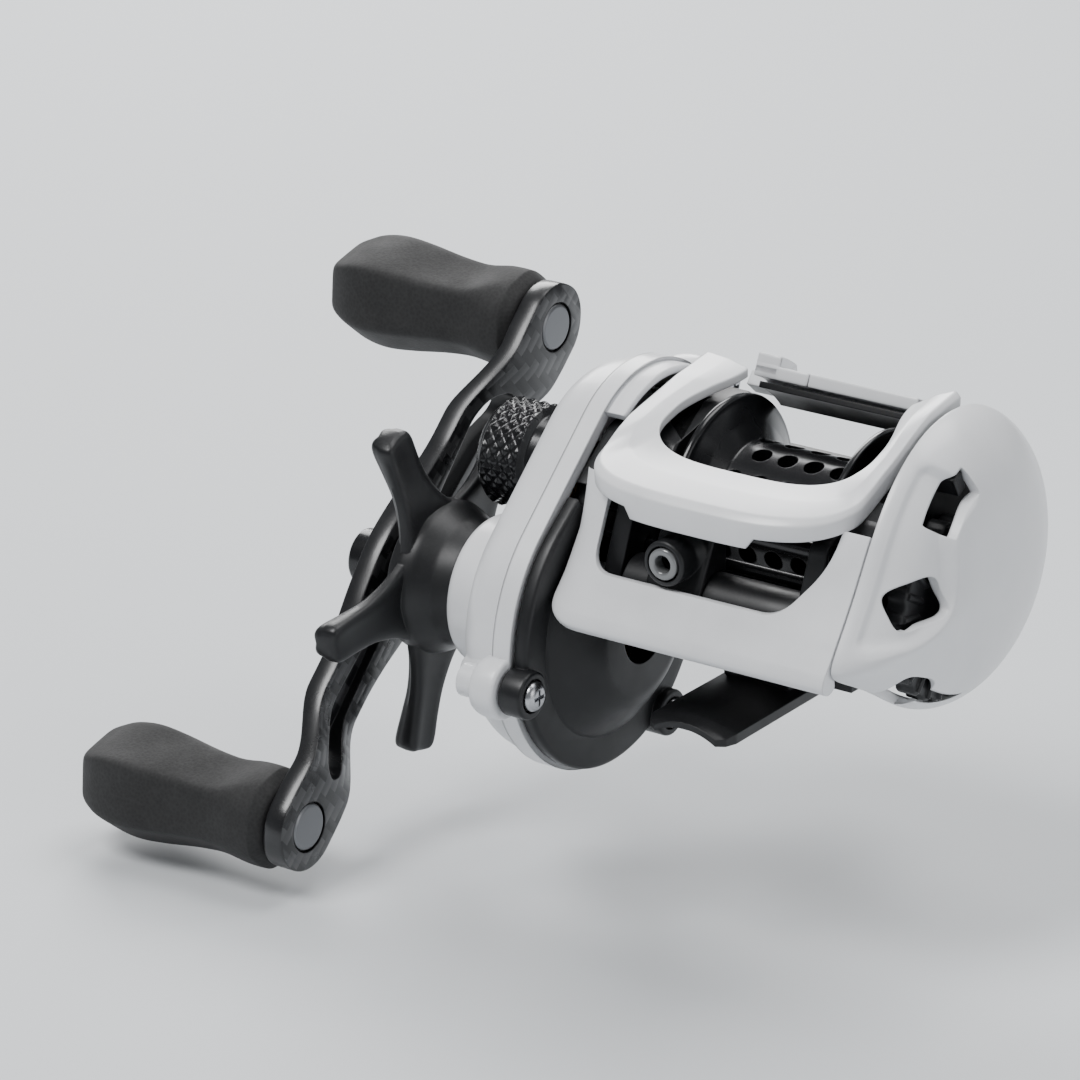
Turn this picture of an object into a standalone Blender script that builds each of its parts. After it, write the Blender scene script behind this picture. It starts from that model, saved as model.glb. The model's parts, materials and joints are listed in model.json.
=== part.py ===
"""Low-profile baitcasting reel, right-hand retrieve, as an assembly of separate named pieces.

World frame: +X towards the palm side plate, -Y towards the rod tip, +Z up.
The origin is the centre of the foot's underside. Sizes below are in millimetres,
and each mesh is scaled to metres once, when its object is made.
"""
from math import atan2, cos, exp, pi, radians, sin, sqrt

import bmesh
import bpy
from mathutils import Matrix, Vector

MM = 0.001
GAP = 0.3                      # clearance between pieces that touch

# --- where the three parallel axes run (all along X) ---
SPOOL_Z = 21.5                 # spool axis over the foot's underside
GEAR_MODULE = 0.45
DRIVE_TEETH, PINION_TEETH = 81, 10
DRIVE_DY = -12.2               # drive axis, forward of the spool axis
DRIVE_DZ = -sqrt((GEAR_MODULE * (DRIVE_TEETH + PINION_TEETH) / 2) ** 2 - DRIVE_DY ** 2)
WORM_MODULE = 0.5
WORM_DRIVER_TEETH, WORM_TEETH = 38, 20
WORM_DY = -21.5                # level wind worm axis
WORM_DZ = DRIVE_DZ + sqrt((WORM_MODULE * (WORM_DRIVER_TEETH + WORM_TEETH) / 2) ** 2
                          - (WORM_DY - DRIVE_DY) ** 2)
DRIVE = (DRIVE_DY, DRIVE_DZ)
WORM = (WORM_DY, WORM_DZ)
SPOOL = (0.0, 0.0)

# --- spool and its walls ---
SPOOL_R, SPOOL_HALF_W, BARREL_R = 16.0, 13.0, 10.0
WALL_IN, WALL_OUT = 14.2, 17.0           # |x| of the two side walls
RING_IN_R, RING_OUT_R, CUP_R = 17.2, 19.2, 17.8

# --- side housings ---
DISC_OUT, DISC_IN = -26.2, -23.8         # black rim disc on the gear side
COVER_OPEN, COVER_FACE = -26.5, -38.0    # white gear cover from its rim to its flat face
GEAR_LOBE_R, SPOOL_LOBE_R, DISC_SPOOL_R = 22.0, 18.0, 16.4
SHELL = 1.6
LUG_R, SCREW_R = 3.5, 1.1
BOSS_R, BOSS_END = 11.4, -46.0
SEAM_X, PALM_FACE = 23.8, 33.0           # palm cover from its seam to the top of its dome
PALM_R, NOSE, NOSE_ANGLE, NOSE_SPREAD = 21.5, 12.0, 194.0, 14.5

# --- front of the reel ---
ROD_UPPER, ROD_UPPER_R = (-19.4, 4.6), 1.3
ROD_LOWER, ROD_LOWER_R = (-18.0, -1.0), 0.9
TUBE_OUT_R, TUBE_IN_R = 4.2, 3.2
GUIDE_X, GUIDE_HALF_W, EYE_Z, EYE_Y = -5.0, 4.5, 1.3, -28.2

# --- hood and thumb bar ---
HOOD_LEFT, HOOD_RIGHT = 22.5, 20.3       # |x| of the hood's two outer edges
THUMB_MID, THUMB_TRAVEL, THUMB_LUG_R = 50.0, 4.5, 18.4
LUG_HALF_L, LUG_HALF_T = 1.5, 1.2
CORNERS = ((-1, -1), (1, -1), (1, 1), (-1, 1))

# --- handle ---
HANDLE_SPAN, HANDLE_ANGLE = 85.0, 43.3
HUB_IN, HUB_OUT = -60.0, -63.5           # arm plate at its hub
TIP_IN, TIP_OUT = -55.5, -59.0           # arm plate at its two ends
KNOB_IN, KNOB_OUT = -59.4, -94.0
SHAFT_R = 3.0
STAR_ARMS, STAR_R, STAR_FIRST = 5, 26.5, 42.0
STAR_IN, STAR_OUT = -53.2, -56.3

# --- foot ---
FOOT_LENGTH, FOOT_WIDTH, FOOT_SAG, FOOT_THICK = 60.0, 14.0, 1.4, 1.5
PEDESTAL_TOP, BRIDGE_BOTTOM, BRIDGE_HALF_Y = -19.2, -18.9, 11.0
FOOT_UNDER = -SPOOL_Z

# --- palm side controls ---
DIAL, DIAL_R, DIAL_RIBS = (-6.5, -5.0), 13.0, 24

COLOURS = {                    # base colour, roughness, metallic
    "white_paint": ((0.86, 0.87, 0.88), 0.32, 0.0),
    "black_frame": ((0.025, 0.026, 0.028), 0.42, 0.2),
    "black_gloss": ((0.02, 0.02, 0.022), 0.22, 0.6),
    "eva_foam": ((0.03, 0.03, 0.03), 0.85, 0.0),
    "carbon": ((0.035, 0.035, 0.038), 0.3, 0.1),
    "steel": ((0.55, 0.56, 0.58), 0.25, 1.0),
    "grey_metal": ((0.33, 0.34, 0.35), 0.35, 1.0),
    "brass": ((0.75, 0.55, 0.25), 0.3, 1.0),
    "ceramic": ((0.12, 0.12, 0.13), 0.15, 0.0),
    "nylon": ((0.78, 0.76, 0.7), 0.5, 0.0),
}


def clear_scene():
    """Remove every object that is in the scene."""
    for old in list(bpy.data.objects):
        bpy.data.objects.remove(old, do_unlink=True)


def make_materials():
    """One Principled material for each finish."""
    made = {}
    for name, (colour, rough, metal) in COLOURS.items():
        mat = bpy.data.materials.new(name)
        mat.use_nodes = True
        shader = mat.node_tree.nodes["Principled BSDF"]
        shader.inputs["Base Color"].default_value = (*colour, 1.0)
        shader.inputs["Roughness"].default_value = rough
        shader.inputs["Metallic"].default_value = metal
        made[name] = mat
    return made


# ------------------------------------------------------------------ mesh helpers

def skin(rings):
    """Join closed rings of points by quads and cap the two end rings."""
    bm = bmesh.new()
    rows = [[bm.verts.new(p) for p in ring] for ring in rings]
    count = len(rows[0])
    for a, b in zip(rows, rows[1:]):
        for j in range(count):
            k = (j + 1) % count
            bm.faces.new((a[j], a[k], b[k], b[j]))
    bm.faces.new(rows[0][::-1])
    bm.faces.new(rows[-1])
    return outward(bm)


def outward(bm):
    """Point every face away from the solid."""
    bmesh.ops.recalc_face_normals(bm, faces=bm.faces[:])
    if bm.calc_volume(signed=True) < 0:
        bmesh.ops.reverse_faces(bm, faces=bm.faces[:])
    return bm


def turn(profile, centre=SPOOL, sides=18, phase=0.0):
    """Turn a closed (x, r) outline about the X-parallel axis through centre. Radius 0 makes a pole."""
    bm = bmesh.new()
    rows = []
    for x, r in profile:
        if r == 0:
            rows.append([bm.verts.new((x, centre[0], centre[1]))])
        else:
            angles = [phase + 2 * pi * j / sides for j in range(sides)]
            rows.append([bm.verts.new((x, centre[0] + r * cos(a), centre[1] + r * sin(a))) for a in angles])
    for i in range(len(rows)):
        a, b = rows[i], rows[(i + 1) % len(rows)]
        if len(a) == 1 and len(b) == 1:
            continue
        for j in range(sides):
            k = (j + 1) % sides
            if len(a) == 1:
                bm.faces.new((a[0], b[k], b[j]))
            elif len(b) == 1:
                bm.faces.new((a[j], a[k], b[0]))
            else:
                bm.faces.new((a[j], a[k], b[k], b[j]))
    return outward(bm)


def tube(x0, x1, r_out, r_in, centre=SPOOL, sides=18):
    """A plain ring along X, or a solid disc where r_in is 0."""
    if r_in == 0:
        return turn([(x0, 0), (x0, r_out), (x1, r_out), (x1, 0)], centre, sides)
    return turn([(x0, r_in), (x0, r_out), (x1, r_out), (x1, r_in)], centre, sides)


def prism(outline, x0, x1):
    """Extrude a closed (y, z) outline along X."""
    return skin([[(x, y, z) for y, z in outline] for x in (x0, x1)])


def block(low, high):
    """A box between two corners."""
    (x0, y0, z0), (x1, y1, z1) = low, high
    return prism([(y0, z0), (y1, z0), (y1, z1), (y0, z1)], x0, x1)


def rod(start, end, radius, sides=16):
    """A solid round bar between two points."""
    a, b = Vector(start), Vector(end)
    bm = bmesh.new()
    bmesh.ops.create_cone(bm, cap_ends=True, segments=sides, radius1=radius, radius2=radius,
                          depth=(b - a).length)
    turned = (b - a).to_track_quat("Z", "Y").to_matrix().to_4x4()
    bmesh.ops.transform(bm, matrix=Matrix.Translation((a + b) / 2) @ turned, verts=bm.verts[:])
    return outward(bm)


def boolean(base, other, operation):
    """Return base with other added or cut away. Both inputs are used up."""
    pair = []
    for label, bm in (("base", base), ("other", other)):
        mesh = bpy.data.meshes.new(label)
        bm.to_mesh(mesh)
        bm.free()
        thing = bpy.data.objects.new(label, mesh)
        bpy.context.scene.collection.objects.link(thing)
        pair.append(thing)
    mod = pair[0].modifiers.new("join", "BOOLEAN")
    mod.operation, mod.object, mod.solver = operation, pair[1], "EXACT"
    graph = bpy.context.evaluated_depsgraph_get()
    result = bpy.data.meshes.new_from_object(pair[0].evaluated_get(graph))
    out = bmesh.new()
    out.from_mesh(result)
    for thing in pair:
        bpy.data.objects.remove(thing, do_unlink=True)
    bmesh.ops.remove_doubles(out, verts=out.verts[:], dist=1e-4)
    bmesh.ops.dissolve_degenerate(out, dist=1e-4, edges=out.edges[:])
    return out


def add(base, *others):
    """Union of several meshes."""
    for other in others:
        base = boolean(base, other, "UNION")
    return base


def cut(base, *others):
    """Base without the other meshes."""
    for other in others:
        base = boolean(base, other, "DIFFERENCE")
    return base


def arc(centre, radius, start, end, steps):
    """Points of a (y, z) arc, angles in degrees from +Y towards +Z."""
    return [(centre[0] + radius * cos(radians(start + (end - start) * i / steps)),
             centre[1] + radius * sin(radians(start + (end - start) * i / steps)))
            for i in range(steps + 1)]


def smooth(t):
    """Ease from 0 to 1."""
    t = min(max(t, 0.0), 1.0)
    return t * t * (3 - 2 * t)


# ------------------------------------------------------------------ shared outlines

def two_lobes(inset=0.0, spool_r=SPOOL_LOBE_R, steps=32):
    """Outline round the gear lobe and the spool lobe: the hull of two circles, shrunk by inset."""
    points = []
    for i in range(steps):
        a = 2 * pi * i / steps
        way = Vector((cos(a), sin(a)))
        lobes = ((Vector(DRIVE), GEAR_LOBE_R - inset), (Vector(SPOOL), spool_r - inset))
        centre, radius = max(lobes, key=lambda lobe: lobe[0].dot(way) + lobe[1])
        points.append(tuple(centre + way * radius))
    return points


def palm_radius(angle):
    """Radius of the palm cover's rim: a circle with a nose that points forwards and down."""
    off = angle - NOSE_ANGLE
    return PALM_R + NOSE * exp(-sqrt(off * off + 9.0) / NOSE_SPREAD)


def hood_height(y):
    """Top of the hood over the spool axis, falling from the back to the front."""
    if y > -12:
        return 17.6 + 0.15 * y if y > 0 else 17.6 + 0.235 * y
    return 14.8 - 0.47 * (-12 - y) if y > -17 else 12.45 - 0.14 * (-17 - y)


# ------------------------------------------------------------------ gears

def gear_outline(teeth, module, phase, levels=3):
    """Involute gear outline with thin, slightly short teeth, as (y, z) about its own centre."""
    pitch_r = module * teeth / 2
    base_r = pitch_r * cos(radians(20))
    root_r, tip_r = pitch_r - 1.2 * module, pitch_r + 0.8 * module
    half_tooth = 0.38 * pi / teeth                     # half the tooth's angle at the pitch circle

    def flank(r):
        if r <= base_r:
            return 0.0
        t = sqrt((r / base_r) ** 2 - 1)
        return t - atan2(t, 1.0)

    at_pitch = flank(pitch_r)
    radii = (root_r, pitch_r, tip_r) if levels == 3 else (root_r, tip_r)
    side = [(r, half_tooth + at_pitch - flank(r)) for r in radii]
    points = []
    for i in range(teeth):
        middle = phase + 2 * pi * i / teeth
        for r, a in [(r, -a) for r, a in side] + side[::-1]:
            points.append((r * cos(middle + a), r * sin(middle + a)))
    return points


def gear(teeth, module, centre, x0, x1, phase, bore, levels=3):
    """A spur gear along X: the toothed outline outside, a bore inside, and caps made tooth by tooth."""
    outline = gear_outline(teeth, module, phase, levels)
    per_tooth = 2 * levels
    bm = bmesh.new()
    outer, inner = [], []
    for x in (x0, x1):
        outer.append([bm.verts.new((x, centre[0] + y, centre[1] + z)) for y, z in outline])
        angles = [phase + 2 * pi * i / teeth for i in range(teeth)]
        inner.append([bm.verts.new((x, centre[0] + bore * cos(a), centre[1] + bore * sin(a)))
                      for a in angles])
    total = len(outline)
    for i in range(total):
        k = (i + 1) % total
        bm.faces.new((outer[0][i], outer[0][k], outer[1][k], outer[1][i]))
    for i in range(teeth):
        k = (i + 1) % teeth
        bm.faces.new((inner[0][i], inner[0][k], inner[1][k], inner[1][i]))
        for rim, bore_ring in zip(outer, inner):
            tooth = [rim[per_tooth * i + j] for j in range(per_tooth)]
            bm.faces.new([bore_ring[i], *tooth])
            bm.faces.new((bore_ring[i], tooth[-1], rim[(per_tooth * (i + 1)) % total], bore_ring[k]))
    return outward(bm)


def mesh_phase(centre, mate, teeth, mate_teeth, mate_phase):
    """Phase that puts a gap of this gear opposite the mate's tooth on the line of centres."""
    line = atan2(mate[1] - centre[1], mate[0] - centre[0])
    mate_line = line + pi
    mate_off = (mate_line - mate_phase) * mate_teeth / (2 * pi)
    mate_off -= round(mate_off)
    return line + (0.5 + mate_off) * 2 * pi / teeth


# ------------------------------------------------------------------ frame and foot

def frame_mesh():
    """One-piece black frame: rim disc, two side walls, bridges and the dish by the drive shaft."""
    disc = prism(two_lobes(0.0, DISC_SPOOL_R), DISC_OUT, DISC_IN)
    dish = turn([(DISC_IN - 1, 0), (DISC_IN - 1, 17.4), (DISC_IN, 17.4), (-19.6, 12.0), (-18.6, 10.0),
                 (-18.6, 0)], DRIVE, 32)
    cup = tube(DISC_IN - 1, -WALL_IN, CUP_R - 1.6, 0, SPOOL, 32)
    left_front = front_plate(-WALL_OUT - 0.2, -WALL_IN - 0.1)
    right_front = front_plate(WALL_IN + 0.1, WALL_OUT + 0.2)
    right_ring = tube(WALL_IN, SEAM_X - 0.6, RING_OUT_R, 0, SPOOL, 32)
    floor = prism([(-BRIDGE_HALF_Y, BRIDGE_BOTTOM), (BRIDGE_HALF_Y, BRIDGE_BOTTOM)]
                  + arc(SPOOL, RING_IN_R + 0.3, 309, 231, 6), -WALL_IN - 1, WALL_IN + 1)
    rear = prism(arc(SPOOL, RING_IN_R + 0.3, -42, 10, 5) + arc(SPOOL, RING_OUT_R - 0.4, 10, -42, 5),
                 -WALL_IN - 1.2, WALL_IN + 1.2)
    bridge = block((-WALL_IN - 1.1, -23.0, 7.4), (WALL_IN + 1.1, -17.6, 8.6))
    body = add(disc, dish, cup, left_front, right_front, right_ring, floor, rear, bridge)
    roof = [(13.2, 12.2), (8.0, 14.2)] + [(y, hood_height(y) - 3.1) for y in (0, -12, -17, -24.5, -40)]
    body = cut(
        body,
        tube(DISC_OUT - 1, -WALL_OUT, 14.5, 0, SPOOL, 32),              # cavity behind the left wall
        tube(-WALL_OUT - 1, -WALL_IN + 1, 4.8, 0, SPOOL, 24),           # pinion bearing seat
        tube(WALL_IN - 1, SEAM_X + 1, RING_IN_R, 0, SPOOL, 32),         # bore that the spool leaves by
        tube(DISC_OUT - 1, -17, 5.3, 0, DRIVE, 24),                     # drive shaft bearing seat
        tube(DISC_OUT - 1, -20.6, 10.2, 0, (DRIVE_DY, DRIVE_DZ - 4.6), 24),
        prism(roof + [(-40, 40), (13.2, 40)], -40, 40),                   # room for the hood
        thumb_slot(),
        tube(-40, 40, 1.9, 0, WORM, 16),
        tube(-40, WALL_OUT + 1, ROD_UPPER_R + GAP, 0, ROD_UPPER, 14),
        tube(-40, WALL_OUT + 1, ROD_LOWER_R + GAP, 0, ROD_LOWER, 12),
    )
    return body


def front_plate(x0, x1):
    """Side wall that reaches forwards to carry the worm and the guide rods."""
    nose = arc(ROD_UPPER, 2.2, 100, 175, 3) + arc(WORM, 4.6, 190, 260, 4)
    back = [(2.0, -CUP_R + 1.6), (6.0, 0.0), (2.0, CUP_R - 1.6)]
    return prism(nose + back, x0, x1)


def thumb_slot():
    """Slanted slot through both side walls, along the thumb bar's travel."""
    angle = radians(90 - THUMB_MID)
    along, across = Vector((cos(-angle), sin(-angle))), Vector((sin(angle), cos(angle)))
    middle = Vector((cos(radians(THUMB_MID)), sin(radians(THUMB_MID)))) * THUMB_LUG_R
    middle += along * THUMB_TRAVEL / 2
    half = THUMB_TRAVEL / 2 + LUG_HALF_L + GAP
    corners = [middle + along * i * half + across * j * (LUG_HALF_T + GAP) for i, j in CORNERS]
    return prism([tuple(c) for c in corners], -30, 30)


def thumb_bar_mesh():
    """White thumb bar: a curved bar over the back of the spool, with a lug at each end."""
    bar = prism(arc(SPOOL, 18.5, 36, 67, 7) + arc(SPOOL, 20.4, 67, 36, 7), -WALL_IN + 0.7, WALL_IN - 0.7)
    angle = radians(90 - THUMB_MID)
    along, across = Vector((cos(-angle), sin(-angle))), Vector((sin(angle), cos(angle)))
    middle = Vector((cos(radians(THUMB_MID)), sin(radians(THUMB_MID)))) * (THUMB_LUG_R + 0.1)
    corners = [middle + along * i * LUG_HALF_L + across * j * (LUG_HALF_T - 0.1) for i, j in CORNERS]
    lug = prism([tuple(c) for c in corners], -WALL_OUT + 0.6, WALL_OUT - 0.6)
    return cut(add(bar, lug), tube(-WALL_IN + 1.2, WALL_IN - 1.2, 18.2, 0, SPOOL, 48))


def thumb_carrier_mesh():
    """Black carrier under the thumb bar, clear of the spool's flanges."""
    return prism(arc(SPOOL, 17.0, 40, 65, 6) + arc(SPOOL, 17.9, 65, 40, 6), -WALL_IN + 1.6, WALL_IN - 1.6)


def foot_mesh():
    """Arched foot with an odd number of facets, so that its middle facet is flat."""
    bow = ((FOOT_WIDTH / 2) ** 2 + FOOT_SAG ** 2) / (2 * FOOT_SAG)
    facets = 7
    spread = 2 * atan2(FOOT_WIDTH / 2, bow - FOOT_SAG)
    edges = [spread * (i / facets - 0.5) for i in range(facets + 1)]

    def section(y, half_width, thick):
        lift = FOOT_UNDER - bow * cos(spread / facets / 2)
        squeeze = half_width / (FOOT_WIDTH / 2)
        low = [(bow * sin(a) * squeeze, y, lift + bow * cos(a)) for a in edges]
        return low + [(x, y, z + thick) for x, _, z in low[::-1]]

    half = FOOT_LENGTH / 2
    stations = [(-half, 5.6, 1.0), (-half + 2.5, 6.9, FOOT_THICK), (-BRIDGE_HALF_Y - 2, 7.0, FOOT_THICK),
                (BRIDGE_HALF_Y + 2, 7.0, FOOT_THICK), (half - 4, 6.4, FOOT_THICK), (half, 4.2, 1.0)]
    plate = skin([section(*s) for s in stations])
    pedestal = block((-5.5, -BRIDGE_HALF_Y - 1, FOOT_UNDER + 0.7), (5.5, BRIDGE_HALF_Y + 1, PEDESTAL_TOP))
    foot = add(plate, pedestal)
    for y in (-6.5, 6.5):
        foot = cut(foot, rod((0, y, FOOT_UNDER - 3), (0, y, -10), 1.5 + GAP, 14),
                   rod((0, y, FOOT_UNDER - 3), (0, y, FOOT_UNDER + 1.0), 2.5 + GAP, 14))
    return foot


def foot_screw_mesh(y):
    """Countersunk foot screw, head up in the foot's underside."""
    head = rod((0, y, FOOT_UNDER + 0.1), (0, y, FOOT_UNDER + 0.8), 2.4, 14)
    return add(head, rod((0, y, FOOT_UNDER + 0.5), (0, y, BRIDGE_BOTTOM - 0.05), 1.4, 14))


# ------------------------------------------------------------------ white covers

def gear_cover_mesh():
    """Gear side cover: a two-lobed shell with the drag boss, the cast control tube and screw lugs."""
    outer = [(COVER_OPEN, 0.0), (-30.5, 0.4), (-33.8, 1.1), (-36.2, 2.8), (-37.5, 5.0), (COVER_FACE, 7.4)]
    shell = skin([[(x, y, z) for y, z in two_lobes(i)] for x, i in outer])
    lugs = [rod((COVER_OPEN, y, z), (-35.0, y, z), LUG_R, 14) for y, z in screw_places()]
    shell = add(shell, *lugs)
    inner = [(COVER_OPEN + 1, SHELL), (-30.0, SHELL + 0.4), (-33.0, SHELL + 1.1), (-35.2, SHELL + 2.6),
             (-36.4, SHELL + 5.6)]
    shell = cut(shell, skin([[(x, y, z) for y, z in two_lobes(i)] for x, i in inner]))
    lug_cores = [rod((COVER_OPEN, y, z), (-34.0, y, z), 2.5, 10) for y, z in screw_places()]
    boss = turn([(-36.9, 0), (-36.9, 13.4), (-38.2, 12.0), (-39.6, BOSS_R), (-45.0, 11.2), (BOSS_END, 10.4),
                 (BOSS_END, 0)], DRIVE, 28)
    cast_tube = tube(-36.9, -45.9, 5.4, 0, SPOOL, 18)
    visor = prism(arc(SPOOL, 18.0, 62, 128, 6) + arc(SPOOL, 16.8, 128, 62, 6), -28.0, DISC_IN + 0.6)
    shell = add(shell, boss, cast_tube, visor, *lug_cores)
    shell = cut(shell, tube(-34, -44.9, 9.0, 0, DRIVE, 24), tube(-34, -50, 5.0, 0, DRIVE, 18),
                tube(-34, -50, 4.3, 0, SPOOL, 16))
    return cut(shell, *[rod((COVER_OPEN + 1, y, z), (-32.0, y, z), SCREW_R + GAP, 8)
                        for y, z in screw_places()])


def screw_places():
    """Centres of the three cover screws, just outside the two lobes."""
    reach = GEAR_LOBE_R + 0.6
    front = (DRIVE_DY + reach * cos(radians(190)), DRIVE_DZ + reach * sin(radians(190)))
    low = (DRIVE_DY + reach * cos(radians(305)), DRIVE_DZ + reach * sin(radians(305)))
    rear = ((SPOOL_LOBE_R + 0.4) * cos(radians(38)), (SPOOL_LOBE_R + 0.4) * sin(radians(38)))
    return front, low, rear


def frame_lugs(body):
    """Give the rim disc a drilled ear at each cover screw."""
    start, end = DISC_OUT - 1, DISC_IN + 3
    places = screw_places()
    body = add(body, *[rod((DISC_OUT, y, z), (DISC_IN + 1.4, y, z), LUG_R, 14) for y, z in places])
    return cut(body, *[rod((start, y, z), (end, y, z), SCREW_R + GAP, 8) for y, z in places],
               *[rod((DISC_IN + 0.4, y, z), (end, y, z), 2 * SCREW_R + GAP, 12) for y, z in places])


def cover_screw_mesh(y, z):
    """Round-headed screw with a cross recess, head towards the palm side."""
    head = turn([(DISC_IN + 0.7, 0), (DISC_IN + 0.7, 2.2), (DISC_IN + 1.9, 2.2), (DISC_IN + 2.5, 1.4),
                 (DISC_IN + 2.5, 0)], (y, z), 14)
    screw = add(head, rod((DISC_IN + 1.2, y, z), (-31.5, y, z), 1.1, 8))
    slots = [block((DISC_IN + 1.7, y - a, z - b), (DISC_IN + 3, y + a, z + b))
             for a, b in ((1.2, 0.25), (0.25, 1.2))]
    return cut(screw, *slots)


def palm_ring(inset, x, bend=1.0, steps=34):
    """One closed ring of the palm cover: its rim outline shrunk to bend and inset, at height x."""
    points = []
    for i in range(steps):
        angle = 360.0 * i / steps + 0.7
        r = (palm_radius(angle) - inset) * bend
        points.append((x, r * cos(radians(angle)), r * sin(radians(angle))))
    return points


def palm_dome(reach, thick=0.0):
    """Height of the palm cover at a share of the way from the axis to the rim."""
    return SEAM_X + (PALM_FACE - SEAM_X - thick) * (1 - reach ** 2.8) ** 0.6


def palm_shell_mesh():
    """Palm cover as one closed sheet: up the outside to a cap, back down the inside, and a rim."""
    shares = (1.0, 0.985, 0.95, 0.88, 0.76, 0.6, 0.35)
    outside = skin([palm_ring(0, palm_dome(s), s) for s in shares])
    inside = skin([palm_ring(1.5, SEAM_X - 1.0, 1.0)]
                  + [palm_ring(1.5, palm_dome(s, 1.5), s) for s in (1.0, 0.95, 0.88, 0.76, 0.6, 0.35)])
    shell = cut(outside, inside)
    window = block((24.2, -22.6, -3.4), (40, -13.4, 3.4))
    low_window = block((24.2, -19.4, -16.6), (40, -12.6, -11.4))
    slot = prism(arc(SPOOL, 13.2, 110, 146, 5) + arc(SPOOL, 18.0, 146, 110, 5), 24.2, 40)
    return cut(shell, window, low_window, slot, tube(24.1, 28.5, DIAL_R + GAP, 0, DIAL, 32))


def jaw_outline():
    """Section of the white front jaw in (y, z): outside down to the chin, then back up inside."""
    outside = [(palm_radius(a) * cos(radians(a)), palm_radius(a) * sin(radians(a)))
               for a in (156, 164, 172, 178, 184, 188, 191)]
    chin = [(-32.3, -9.2), (-30.4, -10.8), (-28.8, -10.2)]
    inside = [(-29.2, -7.0), (-26.9, -2.6), (-24.2, 1.4), (-22.0, 5.0), (-19.2, 8.3)]
    return outside + chin + inside


def jaw_mesh():
    """U-shaped front jaw with the level wind's mouth cut through it."""
    body = prism(jaw_outline(), DISC_IN + GAP + 0.1, SEAM_X - GAP)
    left, right = -17.4, 14.6
    mouth = [(left, -2.6), (right, -2.6), (18.6, 4.0), (20.0, 16.0), (-19.0, 16.0), (-18.4, 4.0)]
    knife = skin([[(x, y, z) for x, z in mouth] for y in (-45, -10)])
    return cut(body, knife)


def hood_mesh():
    """White U-shaped hood round the spool opening, open at the back."""
    rings = []
    steps = 10
    for side in (-1, 1):
        part = []
        for i in range(4):
            t = i / 4
            inner = (side * (13.6 + 3.4 * smooth(t)), 6.0 - 13.0 * t)
            outer = (side * (HOOD_LEFT if side < 0 else HOOD_RIGHT), 8.0 - 20.0 * t)
            part.append((inner, outer))
        if side < 0:
            rings += part
            for i in range(steps + 1):
                a = pi + pi * i / steps
                c, s = cos(a), sin(a)
                bulge = abs(c) ** (2 / 3.2) * (1 if c > 0 else -1), -abs(s) ** (2 / 3.2)
                width = HOOD_LEFT if c < 0 else HOOD_RIGHT
                rings.append(((17.0 * bulge[0], -7.0 + 10.0 * bulge[1]),
                              (width * bulge[0], -12.0 + 16.0 * bulge[1])))
        else:
            rings += part[::-1]
    return skin([hood_section(inner, outer) for inner, outer in rings])


def hood_section(inner, outer):
    """Eight-point section of the hood between its inner and outer edge."""
    a, b = Vector(inner), Vector(outer)

    def at(share, drop):
        p = a.lerp(b, share)
        rise = 2.4 * smooth((p.y + 14) / 16) * smooth((p.x - 13) / 7)
        return (p.x, p.y, hood_height(p.y) + rise - drop)

    return [at(0.0, 1.6), at(0.0, 0.2), at(0.45, -0.15), at(0.88, 0.1), at(1.0, 1.1), at(0.96, 2.6),
            at(0.80, 2.5), at(0.7, 1.7)]


# ------------------------------------------------------------------ level wind

def carriage_mesh():
    """Level wind carriage: a block on the worm tube and the upper rod, with the line eye's boss."""
    outline = (arc(ROD_UPPER, 2.4, 20, 160, 6) + arc(WORM, 5.4, 170, 370, 14))
    body = prism(outline, GUIDE_X - GUIDE_HALF_W, GUIDE_X + GUIDE_HALF_W)
    body = add(body, rod((GUIDE_X, EYE_Y, EYE_Z), (GUIDE_X, -21.0, EYE_Z), 3.3, 20))
    return cut(
        body,
        tube(-20, 20, TUBE_OUT_R + GAP, 0, WORM, 24),
        tube(-20, 20, ROD_UPPER_R + 0.25, 0, ROD_UPPER, 16),
        rod((GUIDE_X, -40, EYE_Z), (GUIDE_X, -10, EYE_Z), 1.3, 14),
        rod((GUIDE_X, -40, EYE_Z), (GUIDE_X, EYE_Y + 2.2, EYE_Z), 2.6, 18),
        rod((GUIDE_X, WORM_DY, WORM_DZ - 9), (GUIDE_X, WORM_DY, WORM_DZ), 1.7, 14),
        block((-20, -19.3, -4.0), (20, -15, 2.4)),
    )


def insert_mesh():
    """Hard ring that the line runs through."""
    ring = rod((GUIDE_X, EYE_Y - 0.3, EYE_Z), (GUIDE_X, EYE_Y + 1.9, EYE_Z), 2.3, 18)
    return cut(ring, rod((GUIDE_X, -31, EYE_Z), (GUIDE_X, -25, EYE_Z), 1.25, 14))


def worm_tube_mesh():
    """Tube round the worm, slotted underneath for the pawl."""
    pipe = tube(-WALL_IN + GAP, WALL_IN - GAP, TUBE_OUT_R, TUBE_IN_R, WORM, 24)
    return cut(pipe, block((-11.5, WORM_DY - 1.75, WORM_DZ - 8), (11.5, WORM_DY + 1.75, WORM_DZ - 2)))


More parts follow.
